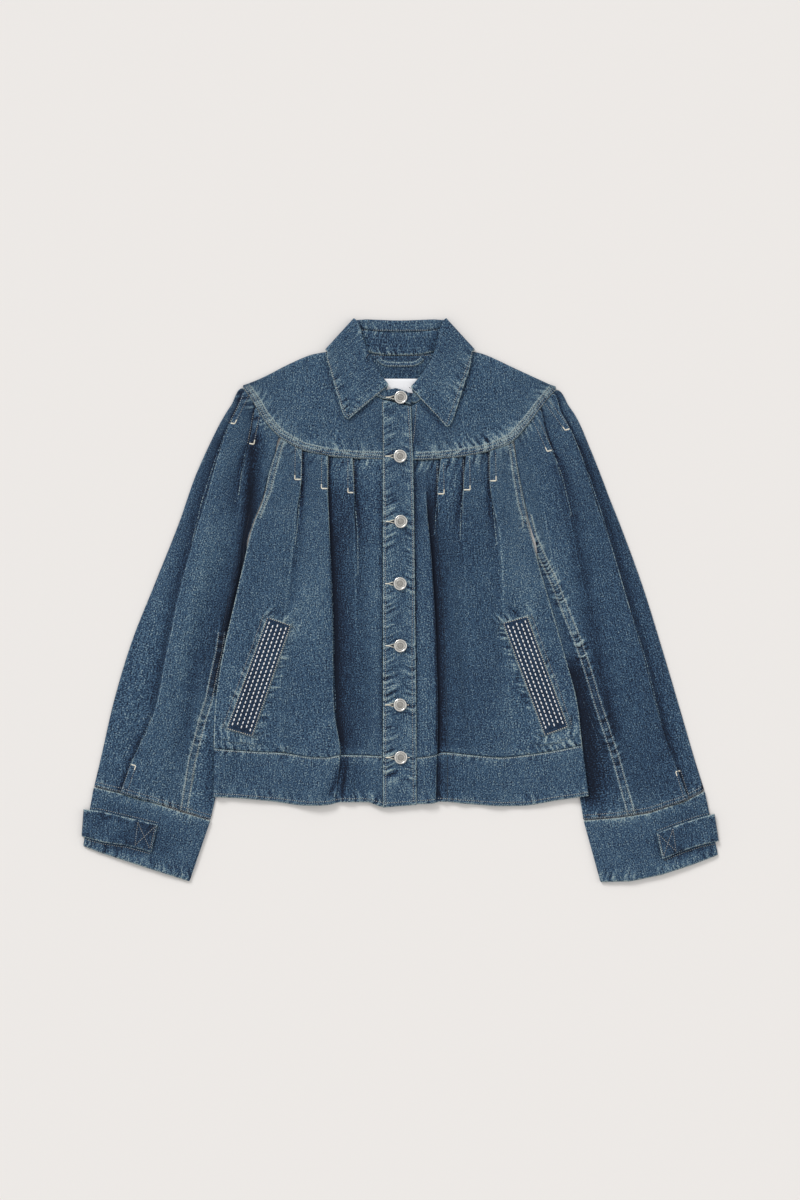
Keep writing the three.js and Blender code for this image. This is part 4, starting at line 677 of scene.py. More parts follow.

# %% [markdown]
# ## Painted shade in the folds
# The bottoms of the deep folds, the gaps beside the body's edges, the places under the collar and
# some broad stretches get painted shade, as little light falls there. Each line below follows one,
# with its reach to the viewer's right and left of the way down it, in millimetres. Below zero it
# sinks and is painted dark as painted shade, above zero it stands up and is painted paler as
# painted light.

# %% Painted shade in the folds, and painted light on their backs
SHADES = {
    "front": [
        ([(-92.3, 104), (-90.4, 55.9), (-85.8, -55.9), (-85.8, -98.8), (-83.2, -141.7), (-79.3, -174.2),
          (-70.2, -202.8)], 13, 1.5, -0.9),
        ([(-92.3, 158.6), (-89.7, 55.9), (-85.2, -55.9), (-85.2, -98.8), (-82.5, -141.7), (-78, -174.2),
          (-70.2, -202.8)], 42, 1.5, -0.75),
        ([(-128.7, 156), (-133.9, 92.3), (-141.1, 18.2), (-146.9, -15.6)], 6, 1.5, -0.35),
        ([(-59.8, 140.4), (-55.9, 89.7), (-54.6, 32.5), (-54.6, -3.9)], 6, 1.5, -0.3),
        ([(34.5, 156), (36.4, 114.4), (40.7, 62.4), (44.5, 2.6), (45.9, -55.9), (48, -130),
          (46.8, -202.8)], 11, 1.5, -1.1),
        ([(36.4, 130), (42.5, 32.5), (45.9, -55.9), (48, -130), (46.8, -202.8)], 72, 1.5, -0.5),
        ([(17.6, 208), (18.9, 169), (19.5, 130), (20.8, 78)], 9, 1, -0.6),
        ([(15, 179.4), (19.5, 78), (19.5, -65), (20.2, -195)], 4, 2, -0.9),
        ([(-26, 179.4), (-23.4, 78), (-22.8, -65), (-23.4, -195)], 1, 3, -0.6),
        ([(48.8, 137.8), (46.8, 114.4), (45.5, 84.5)], 1.5, 6, -0.3),
        ([(82.5, 145.6), (79.3, 119.6), (80.6, 52)], 3, 7, -0.3),
        ([(116.4, 154.7), (122.2, 107.9), (127.4, 55.1), (130, -11.7)], 2, 8, -0.4),
        ([(-32.5, 130), (-31.2, 0), (-29.9, -182)], 8, 8, 0.22),
        ([(27.3, 52), (31.2, -65), (32.5, -182)], 7, 7, 0.12),
        ([(-117, 130), (-118.3, 52), (-123.5, -52)], 14, 14, 0.14),
        ([(145.6, 156), (156, 52), (169, -52)], 16, 16, 0.12),
        ([(-231.4, -175.5), (-195, -189.8), (-149.5, -195)], 8, 8, 0.4),
        ([(175.5, -192.4), (208, -184.6), (236.6, -179.4)], 8, 8, 0.45),
        ([(-184.6, -184.6), (-166.4, -191.1), (-144.3, -201.5)], 3, 3, -0.5),
    ],
    "band": [
        ([(-67.6, -204.1), (-73.5, -236.6), (-75.9, -263.9)], 4, 3, -1.6),
        ([(-72.8, -204.1), (-84.5, -237.9), (-94.1, -260)], 3.5, 3.5, -1.3),
        ([(20.2, -204.1), (20.8, -263.9)], 4, 2, -0.9),
        ([(47.5, -200.2), (48.1, -234), (48.8, -267.8)], 9, 3, -1.0),
        ([(-57.2, -204.1), (-59.8, -234), (-61.1, -263.9)], 22, 6, -0.3),
        ([(62.4, -204.1), (62.4, -267.8)], 30, 6, -0.22),
    ],
    "sleeve": [
        ([(-184.6, 227.5), (-192.4, 195), (-195, 146.9), (-197.6, 100.1), (-204.1, 57.2), (-213.2, 13),
          (-223.6, -26), (-232.7, -65), (-239.2, -104), (-243.1, -136.5)], 12, 7, -1.7),
        ([(-188.5, 169), (-198.9, 78), (-213.2, 13), (-231.4, -52), (-244.4, -117)], 12, 26, -0.5),
        ([(247, 221), (267.8, 130), (299, 0), (318.5, -130), (325, -260)], 60, 45, -0.42),
        ([(-197.6, 204.1), (-205.4, 174.2), (-208, 152.1), (-215.8, 110.5)], 3, 12, -0.6),
        ([(-213.2, 91), (-223.6, 39), (-239.2, -26), (-254.8, -91)], 9, 9, -0.2),
        ([(-222.3, 227.5), (-240.5, 182), (-256.8, 130), (-270.4, 72.8), (-284.7, 27.3), (-299.7, -39),
          (-312, -98.8), (-322.4, -153.4)], 2.5, 14, -0.42),
        ([(-231.4, 227.5), (-250.9, 182), (-265.2, 130), (-276.9, 78)], 6, 6, -0.15),
        ([(-322.4, -153.4), (-334.4, -180.2), (-347.1, -208)], 2, 9, -0.45),
        ([(-260, -52), (-273, -130), (-283.4, -221)], 10, 10, -0.3),
        ([(-244.4, -156), (-247, -247), (-250.9, -279.5)], 9, 9, -0.5),
        ([(-240.5, 130), (-256.1, 52), (-273, -26), (-288.6, -117)], 12, 10, 0.2),
        ([(-325, 0), (-351, -78), (-377, -182)], 9, 12, -0.15),
        ([(200.2, 192.4), (210.6, 159.9), (222.3, 110.5), (232.7, 58.5), (244.4, 0)], 10, 10, -0.85),
        ([(241.8, 13), (256.1, -65), (270.4, -136.5), (282.1, -195)], 10, 13, -0.6),
        ([(221, 223.6), (237.5, 183.3), (260, 117.7), (279.5, 53.3)], 9, 2.5, -0.28),
        ([(275.6, 67.6), (294.4, 0), (319.8, -80.6), (339.3, -161.2), (348.4, -201.5)], 9, 2.5, -0.5),
        ([(215.8, -71.5), (227.5, -104), (237.9, -154.7), (245.7, -206.7), (249.6, -275.6)], 22, 16, -1.9),
        ([(265.2, -117), (278.2, -182), (284.7, -222.3), (285.1, -247), (275.6, -267.8)], 6, 6, -0.5),
        ([(170.3, 93.6), (183.3, 57.2), (197.6, 19.5), (215.8, -32.5), (234, -84.5)], 2, 7, -0.55),
        ([(247, 156), (265.2, 91), (288.6, 0), (312, -84.5)], 5, 12, 0.2),
        ([(299, -182), (312, -260)], 12, 12, -0.2),
    ],
    "yoke": [
        ([(-197.6, 275.6), (-187.2, 260), (-174.2, 241.8)], 9, 9, 0.45),
        ([(114.4, 200.2), (136.5, 213.2), (156, 234)], 8, 8, 0.4),
        ([(-70.2, 228.8), (-44.2, 249.6), (-15.6, 273)], 5, 3, -0.6),
        ([(62.4, 218.4), (36.4, 244.4), (11.7, 271.7)], 3, 5, -0.6),
        ([(98.8, 322.4), (80.6, 270.4), (63.7, 219.7)], 5, 2, -0.55),
        ([(-101.4, 322.4), (-88.4, 278.2), (-75.4, 237.9)], 2, 4, -0.3),
        ([(-26, 260), (-25.4, 188.5)], 2, 8, -0.25), ([(16.9, 240.5), (17.6, 179.4)], 9, 2, -0.5),
        ([(-130, 296.4), (-117, 221)], 25, 25, 0.1), ([(-45.5, 221), (-36.4, 188.5)], 14, 14, 0.12),
    ],
    "cuff": [
        ([(-392.6, -247), (-325, -266.5), (-249.6, -289.9)], 7, 7, 0.35),
        ([(247, -289.9), (325, -280.8), (392.6, -254.8)], 7, 7, 0.35),
        ([(-408.2, -275.6), (-361.4, -286), (-317.2, -295.1)], 3, 3, -0.5),
        ([(-395.2, -318.5), (-360.1, -321.1), (-322.4, -330.2)], 3, 6, -0.6),
        ([(-319.8, -291.2), (-322.4, -326.3)], 5, 3, -0.5), ([(331.5, -304.2), (339.3, -338)], 3, 5, -0.5),
        ([(340.6, -339.3), (370.5, -326.3), (410.8, -318.5)], 6, 3, -0.6),
        ([(-299, -299), (-312, -348.4)], 10, 10, -0.15),
        ([(-364, -260), (-377, -325)], 60, 60, -0.25), ([(-325, -283.4), (-330.2, -327.6)], 12, 22, -0.5),
        ([(377, -260), (377, -338)], 50, 50, -0.2), ([(348.4, -299), (358.8, -340.6)], 14, 10, -0.5),
    ],
    "collar": [
        ([(-41.6, 344.5), (-28.6, 331.5), (41.6, 331.5), (52, 344.5)], 18, 18, -0.35),
        ([(-52, 361.4), (-36.4, 317.2), (-15.6, 278.2)], 5, 9, -0.3),
        ([(54.6, 361.4), (39, 317.2), (10.4, 278.2)], 9, 5, -0.3),
        ([(-72.8, 338), (-57.2, 279.5), (-52, 260)], 12, 12, 0.15),
        ([(78, 331.5), (58.5, 260)], 12, 12, 0.12),
    ],
    "neck": [([(-42.9, 313.9), (44.2, 313.9)], 4, 4, -0.7), ([(-20.8, 296.4), (26, 296.4)], 8, 8, -0.5)],
}

def shaded(x, y, group):
    """The tone and the height of the painted shade in the folds and the painted light on their backs."""
    shape, x, y = x.shape, x.ravel(), y.ravel()
    tone = np.zeros(len(x))
    for line, right, left, amount in SHADES[group]:
        line = smooth_line(line)
        far = 2.2 * max(right, left)
        near = within(x, y, line, far)
        if len(near) == 0:
            continue
        _, place, off = nearest(x[near], y[near], line)
        total = np.linalg.norm(np.diff(line, axis=0), axis=1).sum()
        run = min(0.3 * total, 30)
        ends = ease(place, -0.3 * run, run) * (1 - ease(place, total - run, total + 0.3 * run))
        reach = np.where(off > 0, right, left) * (1 + 0.15 * drift(place, off, 40, 40, 17))
        tone[near] += amount * ends * np.exp(-(np.abs(off) / reach) ** 1.6)
    return tone.reshape(shape), (0.9 * np.clip(tone, -1, 1)).reshape(shape)

# %% The small unevenness of worn cloth
def living(x, y, across=26, down=120, tall=0.5, turn=0):
    """The small unevenness of a cloth that has been used and smoothed flat by hand."""
    return tall * (drift(x, y, across, down, turn) + 0.45 * drift(x, y, across * 0.45, down * 0.5, turn
                                                                  + 5))

# %% [markdown]
# ## Sections with folds
# A pleat is three layers of cloth in an S. Down the jacket it opens, until it is no more than a
# soft wave. So a section is drawn as a run of smooth lead-ins with an S between them, and each S
# is blended with a wave by how far that pleat is closed there. Every row has the same number of
# points, so the rows join into one grid.

# %% One S of a pleat
FOLD_CUTS = [3, 4, 4, 4, 4, 4, 7]  # points between the eight corners of an S
FULL_STEP = 3.2  # height of a pleat's upper layer over its lower one, where it is closed

def fold_points(step, closed, soft):
    layer = step / 2
    r = layer / 2
    tight = np.array([(-r - 3, step), (-r, step), (0, step - r), (-r, layer), (-PLEAT_DEPTH + r, layer),
                      (-PLEAT_DEPTH, r), (-PLEAT_DEPTH + r, 0), (3, 0)])
    t = np.concatenate([(k + np.arange(n) / n) for k, n in enumerate(FOLD_CUTS)] + [[7]])
    x, z = [np.interp(t, np.arange(8), c) for c in tight.T]
    for _ in range(2):
        x[1:-1] = (x[:-2] + 2 * x[1:-1] + x[2:]) / 4
        z[1:-1] = (z[:-2] + 2 * z[1:-1] + z[2:]) / 4
    t = t / 7
    # The fold's edge is rubbed pale; the layers inside it are later painted darker, as painted shade along
    # with their unfaded indigo.
    pale_edge = (0.5 + 0.5 * closed) * min(step / 2, 1) * np.exp(-((t - 0.27) / 0.06) ** 2)
    hidden = closed * ease(t, 0.3, 0.42) - pale_edge
    return lerp((2 * t - 1) * soft, x, closed), lerp(step * (1 - ease(t)), z, closed), hidden

def shadow_from(distance):
    """How dark the cloth is at a distance from a fold's mouth: a crisp line in a soft shade."""
    return 0.75 * np.exp(-distance / 1.1) + 0.25 * np.exp(-distance / 6)

def folded_section(start, end, folds, foot, counts, swell):
    """Places, heights and how deep in a fold, from start to end, each (place, level)."""
    xs, zs, deep = [np.array([start[0]])], [np.array([start[1]])], [np.zeros(1)]
    def lead_to(place, level, count, dark_from, dark_to):
        t = np.arange(1, count) / count
        reach = abs(place - xs[-1][-1])
        xs.append(lerp(xs[-1][-1], place, t))
        zs.append(lerp(zs[-1][-1], level, ease(t)) + swell * np.sin(np.pi * t))
        deep.append(dark_from * shadow_from(t * reach) + dark_to * shadow_from((1 - t) * reach))
    beside_last = 0.0
    for fold, count in zip(folds, counts):
        x, z, hidden = fold_points(fold["step"], fold["closed"], fold["soft"])
        x, z = fold["edge"] + fold["faces"] * x, foot + z
        rise = fold["step"] / FULL_STEP
        shade = min(1.0, fold["closed"] * (0.35 + 0.65 * rise) + 0.1 * rise)
        before, after = 0.0, shade
        if fold["faces"] < 0:
            x, z, hidden, before, after = x[::-1], z[::-1], hidden[::-1], shade, 0.0
        lead_to(x[0], z[0], count, beside_last, before)
        xs.append(x)
        zs.append(z)
        deep.append(hidden)
        beside_last = after
    lead_to(end[0], end[1], counts[-1], beside_last, 0.0)
    xs.append(np.array([end[0]]))
    zs.append(np.array([end[1]]))
    deep.append(np.zeros(1))
    return np.concatenate(xs), np.concatenate(zs), np.concatenate(deep)

# %% [markdown]
# ## The body
# The back panel rests on the surface. The fronts lie on it with three stitched pleats each, and
# the wearer's left front has a fourth, deep and loose, beside the placket. Below the armpit the
# body's sides climb over the sleeves. The fronts are drawn row by row, from the yoke seam to the
# hem band's seam.

# %% Places down the body
def seam_side(x, up):
    slope = (along(YOKE_SEAM, x + 2) - along(YOKE_SEAM, x - 2)) / 4
    return along(YOKE_SEAM, x) + up * SEAM_HALF * np.hypot(1, slope)

def body_y(x, v):
    seam = along(HEM_SEAM, x)
    if v > 1:
        return lerp(seam, along(HEM_EDGE, x), (v - 1) / (HEM - 1))
    return lerp(seam_side(np.clip(x, -155, 147), -1), seam + SEAM_HALF, v)

def side_x(side, v):
    return float(column(BODY_STATIONS, FRONTS[side]["side"], v))

def lift_reach(side, v):
    """How far in from the body's side the sleeve under it reaches."""
    x = side_x(side, v)
    upwards = [(edge_y, edge_x) for edge_x, edge_y in SLEEVE_LINES[side]["edge"][::-1]]
    return max((float(along(upwards, body_y(x, v))) - x) * -SIDES[side], 0) + 3

LIFT, LIFT_RUN = 3.0, 16

def sleeve_lift(side, v, inward):
    reach = lift_reach(side, v)
    return LIFT * ease(v, ARMPIT, ARMPIT + 0.07) * (1 - ease(inward, reach, reach + LIFT_RUN))

# %% The fronts and their hem bands
BODY_LONG, BODY_WIDE, BAND_LONG = 390, 440, 64
SWELL = 1.6  # how much the cloth rounds up between two folds
BAND_LIFT = 0.9  # the doubled hem band's middle lies this much higher
# A fold's inside and the cloth beside its mouth are painted darker by these amounts: painted shade, with
# unfaded indigo inside.
FOLD_SHADE, SLEEVE_FOLD_SHADE = 1.3, 1.1  # how much darker than the cloth a fold's inside is
# Crease ridges are painted paler and troughs darker by their height: painted light and shade along with the
# ridges' rubbed wear.
RAISED_PALE = 0.06  # how much paler a crease is, for each millimetre of its height
FOLD_CALM = 0.85  # how much of the puckers a pleat's own folds take away
TALLER = {"right": [1.15, 1.5, 1.15], "left": [1.3, 1.1, 1.1, 1.15]}  # how much taller the soft folds stand
BAND_TALLER, BAND_CLOSED = 1.1, 0.45

def front_section(side, v, band, counts):
    folds = [{"faces": fold["faces"], "soft": fold["soft"],
              "edge": float(column(BODY_STATIONS, fold["edge"], v)),
              "step": float(column(BODY_STATIONS, fold["step"], v)) * (BAND_TALLER if band
                      else TALLER[side][k]),
              "closed": float(column(BODY_STATIONS, fold["closed"], v)) * (BAND_CLOSED if band else 1)}
             for k, fold in enumerate(FRONTS[side]["folds"])]
    side_level = lerp(SEAT_LEVEL, SECOND_LAYER, ease(v, 0.08, ARMPIT - 0.04)) + (BAND_LIFT if band else 0)
    outer = (side_x(side, v), float(side_level))
    if side == "right":
        ends = outer, (PLACKET_LEFT - GAP, 5.0)
    else:
        ends = (float(along(PLACKET_RIGHT, body_y(20, v))) - 3, UNDER_PLACKET_LEVEL - 0.1), outer
    x, z, deep = folded_section(*ends, folds, FRONT_FOOT + (BAND_LIFT if band else 0), counts,
                                SWELL * float(ease(v, 0, 0.25)))
    return x, body_y(x, v), z + sleeve_lift(side, v, np.abs(x - outer[0])), deep

def front_counts(side):
    edges = [fold["edge"][5] for fold in FRONTS[side]["folds"]]
    far = FRONTS[side]["side"][5]
    marks = [far, *edges, PLACKET_LEFT] if side == "right" else [17, *edges, far]
    return [max(3, int(round(abs(b - a) / STEP))) for a, b in zip(marks, marks[1:])]

def front_grid(side, stations, band):
    rows = [front_section(side, v, band, front_counts(side)) for v in stations]
    x, y, z, deep = [np.array(part) for part in zip(*rows)]
    ridges, rubbed_and_shaded = puckered("hem_band" if band else f"{side}_front_", x, y)
    shape = 1.4 * creased(x, y, "band" if band else "front") + living(x, y, 24, 110, 0.6, SIDES[side])
    tone, sunk = shaded(x, y, "band" if band else "front")
    calm = 1 - FOLD_CALM * np.clip(deep, 0, 1)
    z = z + (ridges + shape + sunk) * calm
    # Puckers' wear, painted shade in and beside the pleats, painted light and shade on the creases, and the
    # listed painted shade and light
    worn = rubbed_and_shaded * calm - FOLD_SHADE * deep + RAISED_PALE * shape + tone
    return np.stack([x, y, z], axis=2), worn

BELOW_SEAM = 1.0001  # just past the hem band's seam

for side in SIDES:
    stations = np.linspace(0, 1, points_over(BODY_LONG, coarser=1.15))
    grid, worn = front_grid(side, stations, False)
    cloth(f"{side}_front", grid, 1.0, worn, rims=["left" if side == "right" else "right"])
    stations = np.linspace(BELOW_SEAM, HEM, points_over(BAND_LONG))
    grid, worn = front_grid(side, stations, True)
    grid[0, :, 1] -= SEAM_HALF
    cloth(f"{side}_front_hem_band", grid, 1.6, worn, rims=["top", "bottom"])

# %% The back panel and its hem band
PLAIN = 1.8  # a plain panel's points lie this much further apart
def back_grid(stations, level):
    rows = []
    for v in stations:
        west, east = side_x("right", v), side_x("left", v)
        x = np.linspace(west, east, points_over(BODY_WIDE, coarser=PLAIN))
        lift = sleeve_lift("right", v, x - west) + sleeve_lift("left", v, east - x)
        rows.append((x, body_y(x, v), level + lift))
    x, y, z = [np.array(part) for part in zip(*rows)]
    rubbed_and_shaded = puckered("back_panel", x, y)[1]
    shape = np.maximum(creased(x, y, "back"), 0) * 0.6
    return np.stack([x, y, z + 0.5 * shape], axis=2), 0.5 * rubbed_and_shaded

grid, worn = back_grid(np.linspace(0, 1, points_over(BODY_LONG, coarser=PLAIN)), FLOOR_LAYER)
grid[-1, :, 1] -= 0.4
cloth("back_panel", grid, 1.0, worn)
grid, worn = back_grid(np.linspace(BELOW_SEAM, HEM, points_over(BAND_LONG, coarser=1.2)), BAND / 2)
grid[0, :, 1] -= SEAM_HALF + 0.4
cloth("back_hem_band", grid, 1.6, worn, rims=["top", "bottom"])

# %% [markdown]
# ## The round yoke
# A curved band of cloth joins both fronts and both sleeve heads, and goes over the shoulders to
# the same shape on the back. Its seam is felled: the seam's layers are folded to the yoke's side
# and sewn down in rows, which makes a band a finger wide that stands up a little. The front half
# is a fan of columns from the shoulder and the neck down to the seam.

# %% The front yokes
FELL = 9.0  # width of a felled seam
FELL_RISE = 0.55
YOKE_ROUND, YOKE_LONG = 235, 105

def fell(x, y, line, offset):
    """The raised band of a felled seam, and the wear along its two edges."""
    away, _, off = nearest(x.ravel(), y.ravel(), smooth_line(line))
    middle = np.abs(off - offset)
    near = np.abs(away) < FELL * 2
    raised = np.where(near, 1 - ease(middle, FELL / 2 - 1.2, FELL / 2 + 0.6), 0)
    rubbed_and_shaded = np.where(near, np.exp(-((middle - FELL / 2) / 1.5) ** 2), 0)
    # The raised band of a felled seam, and how pale its two edges rub.
    return raised.reshape(x.shape), rubbed_and_shaded.reshape(x.shape)

def yoke_stations(side):
    sign, shift = SIDES[side], -1.5 if side == "left" else 0
    stations = [(sign * s["top"][0] + shift, s["top"][1] + shift, s["level"], sign * s["foot"] + shift,
                 s["low"])
                for s in YOKE_SHOULDERS]
    neck = []
    for s, foot in zip(COLLAR_FRONTS[side], NECK_FEET[side]):
        away = np.subtract(s["neck"], s["roll"])
        top = np.array(s["neck"]) + away / np.hypot(*away) * 0.5
        neck.append((*top, min(s["level"], 5.7), foot, 4.6))
    if side == "right":
        middle = [(PLACKET_LEFT - GAP, 260.4, 5.0, neck[0][3], 5.0)]
    else:
        middle = [(18, 253.2, 3.6, 19, 3.7), (13.8, 251.5, 3.6, 13.9, 3.6)]
    return np.array(stations + neck[:0:-1] + middle)

for side in SIDES:
    stations = spaced(yoke_stations(side), count=points_over(YOKE_ROUND, 1.1))
    down = np.linspace(0, 1, points_over(YOKE_LONG))[:, None]
    top_x, top_y, level, foot, low = stations.T
    x = lerp(top_x, foot, down)
    y = lerp(top_y, seam_side(foot, 1), down)
    z = lerp(level, low, ease(down)) + 0.25 * np.sin(np.pi * down)
    ridges, rubbed_and_shaded = puckered("yoke", x, y)
    band, edges = fell(x, y, YOKE_RIGHT if side == "right" else YOKE_LEFT, FELL / 2 + 0.5)
    tone, sunk = shaded(x, y, "yoke")
    z = z + ridges + FELL_RISE * band + (0.5 * sunk + living(x, y, 40, 45, 0.6, 4
                                                             + SIDES[side])) * ease(down, 0, 0.2)
    # Puckers' and felled edges' wear, a painted highlight along the shoulder fold, the listed painted shade
    # under the collar and painted light at the shoulders
    worn = rubbed_and_shaded + 0.3 * edges + 0.2 * np.exp(-down * 25) + tone
    cloth(f"{side}_front_yoke", np.stack([x, y, z], axis=2), 1.0, worn, up=-SIDES[side], rims=["bottom"])

# %% The back yoke, which the collar's leaf lifts from below
def leaf_back_edge(x):
    return 302 + 0.0018 * x * x

def back_yoke_level(x, y):
    edge = leaf_back_edge(x)
    over = ease(y, edge - 13, edge - 1) * (1 - ease(np.abs(x), 99, 113))
    return FLOOR_LAYER + (COLLAR + GAP) * over

x = np.linspace(-204, 202.5, points_over(400, coarser=1.3))
top = np.where(np.abs(x) < 64, along(BACK_NECK, x), along(SHOULDER, x))
down = np.linspace(0, 1, points_over(135, coarser=1.3))[:, None]
y = lerp(top, seam_side(x, 1), down)
x = np.broadcast_to(x, y.shape)
ridges, rubbed_and_shaded = puckered("back_yoke", x, y)
grid = np.stack([x, y, back_yoke_level(x, y) + np.maximum(0.3 * ridges, 0)], axis=2)
# Puckers' wear, and painted shadow under the collar from the neck's listed lines
cloth("back_yoke", grid, 1.0, 0.4 * rubbed_and_shaded + shaded(x, y, "neck")[0], rims=["bottom"])

# %% [markdown]
# ## Sleeves
# Each sleeve is a tube pressed flat, cut wide at the head and taken in there with two stitched
# pleats. They open into long folds that run down to a tuck at the cuff. A ring of points goes up
# over the top layer and back along the surface, so one grid makes the whole tube. A felled seam
# comes out from under the body and runs down the inside of the forearm.

# %% A ring of a sleeve
LINE_NAMES = ["outer", "high", "low", "inner", "edge"]
SLEEVE_LONG = 560
SLEEVE_PUFF = 3.4  # how much a sleeve rounds up in its middle
TURN_POINTS = 3  # at each edge, where the ring turns

def sleeve_ring(side, v, counts, below):
    lines = SLEEVE_LINES[side]
    path = np.array([[float(column(SLEEVE_STATIONS, [p[axis] for p in lines[name]], v)) for axis in (0, 1)]
                     for name in LINE_NAMES])
    at = places_on(path)
    total = at[-1]
    joined = float(ease(v, 0.11, 0.23))
    at_edge = lerp(SEAT_LEVEL, SECOND_LAYER, joined)
    folds = [{"faces": fold["faces"], "soft": fold["soft"], "edge": at[LINE_NAMES.index(fold["line"])],
              "step": float(column(SLEEVE_STATIONS, fold["step"], v)),
              "closed": float(column(SLEEVE_STATIONS, fold["closed"], v))} for fold in sleeve_folds(side)]
    d, z, deep = folded_section((1.2, SECOND_LAYER + 0.3), (total - 1.2, at_edge), folds, SECOND_LAYER,
                                counts,
                                1.0 * float(ease(v, 0, 0.2)))
    share = np.clip(d / total, 0, 1)
    free = 1 - ease(v, 0.93, 1.0) * 0.6
    z = z + SLEEVE_PUFF * free * np.sin(np.pi * np.clip(share / 0.75, 0, 1)) * float(ease(v, 0, 0.25))
    z = z - 0.7 * (1 - ease(d, 0, 7))
    turn_in = [(total - 0.4, lerp(at_edge, FLOOR_LAYER, 0.25)), (total, lerp(at_edge, FLOOR_LAYER, 0.5)),
               (total - 0.4, lerp(at_edge, FLOOR_LAYER, 0.8))]
    turn_out = [(0.4, FLOOR_LAYER + 0.2), (0, FLOOR_LAYER + 0.6), (0.4, FLOOR_LAYER + 1.1)]
    lower = np.linspace(total - 1.2, 1.2, below)
    d = np.concatenate([d, [p[0] for p in turn_in], lower, [p[0] for p in turn_out]])
    z = np.concatenate([z, [p[1] for p in turn_in], np.full(below, FLOOR_LAYER), [p[1] for p in turn_out]])
    deep = np.concatenate([deep, np.zeros(below + 2 * TURN_POINTS)])
    x = np.clip(np.interp(d, at, path[:, 0]), path[:, 0].min(), path[:, 0].max())
    y = np.interp(d, at, path[:, 1])
    y = lerp(y, seam_side(x, -1), 1 - float(ease(v, 0, 0.05)))
    return x, y, z, deep

# %% The sleeves
for side in SIDES:
    lines = SLEEVE_LINES[side]
    gaps = [math.dist(lines[a][6], lines[b][6]) for a, b in zip(LINE_NAMES, LINE_NAMES[1:])]
    counts = [max(4, int(round(gap / STEP / 1.05))) for gap in gaps]
    below = int(sum(gaps) / STEP / 2)
    x, y, z, deep = [np.array(part) for part in zip(*[
        sleeve_ring(side, v, counts, below) for v in np.linspace(0, 1,
                                                                 points_over(SLEEVE_LONG, coarser=1.5))])]
    columns = x.shape[1] - below - 2 * TURN_POINTS
    over = np.zeros(x.shape[1])
    over[:columns] = 1
    under = np.zeros(x.shape[1])
    under[columns + TURN_POINTS:-TURN_POINTS] = 1
    ridges, rubbed_and_shaded = puckered(f"{side}_sleeve", x, y)
    shape = 1.5 * creased(x, y, "sleeve") + living(x, y, 30, 120, 0.8, 11 * SIDES[side])
    tone, sunk = shaded(x, y, "sleeve")
    band, edges = fell(x, y, FELLED[side], 0)
    fade = ease(np.minimum(np.arange(x.shape[1]), columns - np.arange(x.shape[1])), 0, 4)
    calm = (1 - FOLD_CALM * np.clip(deep, 0, 1)) * over * fade
    z = z + (ridges + shape + sunk + FELL_RISE * band) * calm + 0.3 * np.maximum(shape, 0) * under
    # Puckers' and felled edges' wear, painted shade in and beside the pleats, painted light and shade on
    # the creases, and the listed painted shade beside the body and down the folds
    worn = (rubbed_and_shaded + 0.35 * edges) * np.maximum(calm, 0.5 * under) - SLEEVE_FOLD_SHADE * deep
    worn += (RAISED_PALE * shape + tone) * over
    cloth(f"{side}_sleeve", np.stack([x, y, z], axis=2), 1.0, worn, up=-SIDES[side], ring=True)

# %% [markdown]
# ## Cuffs and their tabs
# The cuff is a straight doubled band sewn to the sleeve, pressed flat like it. A tab starts at
# the back of the wrist, comes round the outer edge and is sewn to the cuff with a boxed cross.

# %% Cuffs
CUFF_WIDE, CUFF_LONG = 158, 82
TAB_LONG, TAB_WIDE = 100, 34

def cuff_height(share):
    return BAND / 2 + BAND + GAP + 1.2 * np.sin(np.pi * np.clip(share, 0, 1))

for side in SIDES:
    seam = spaced(smooth_line(CUFFS[side]["seam"]), count=points_over(CUFF_WIDE))
    hem = spaced(smooth_line(CUFFS[side]["hem"]), count=len(seam))
    down = np.linspace(0, 1, points_over(CUFF_LONG))[:, None]
    top_x, top_y = [lerp(seam[:, k], hem[:, k], down) for k in (0, 1)]
    share = np.broadcast_to(np.linspace(0, 1, len(seam)), top_x.shape)
    ridges, rubbed_and_shaded = puckered(f"{side}_cuff", top_x, top_y)
    roll = 0.8 * (1 - ease(share, 0, 0.035)) + 0.8 * ease(share, 0.965, 1)
    top_z = cuff_height(share) - roll + ridges + living(top_x, top_y, 34, 26, 0.5, 21 * SIDES[side])
    low_z = np.full(top_z.shape, BAND / 2)
    over, under = [np.stack([top_x, top_y, z], axis=2) for z in (top_z, low_z)]
    inner_edge, outer_edge = [(over[:, edge] + under[:, edge])[:, None] / 2 for edge in (-1, 0)]
    grid = np.concatenate([over, inner_edge, under[:, ::-1], outer_edge], axis=1)
    grid[0, :, 1] -= 0.5
    # The cuffs' listed lines add painted shade in their folds and painted light along their tops
    rubbed_and_shaded = rubbed_and_shaded + shaded(top_x, top_y, "cuff")[0]
    seam_ends = np.full((len(down), 1), 0.3)
    worn = np.concatenate([rubbed_and_shaded, seam_ends, 0.4 * rubbed_and_shaded[:, ::-1], seam_ends], axis=1)
    cloth(f"{side}_cuff", grid, 1.6, worn, up=-SIDES[side], ring=True, rims=["top", "bottom"])

# %% Looking down on the cloth, to lay the next piece on it
def trees(*names):
    found = []
    for name in names:
        mesh = bpy.data.objects[name].data
        points = np.empty(len(mesh.vertices) * 3)
        mesh.vertices.foreach_get("co", points)
        found.append(BVHTree.FromPolygons(points.reshape(-1, 3).tolist(),
                                          [tuple(p.vertices) for p in mesh.polygons]))
    return found

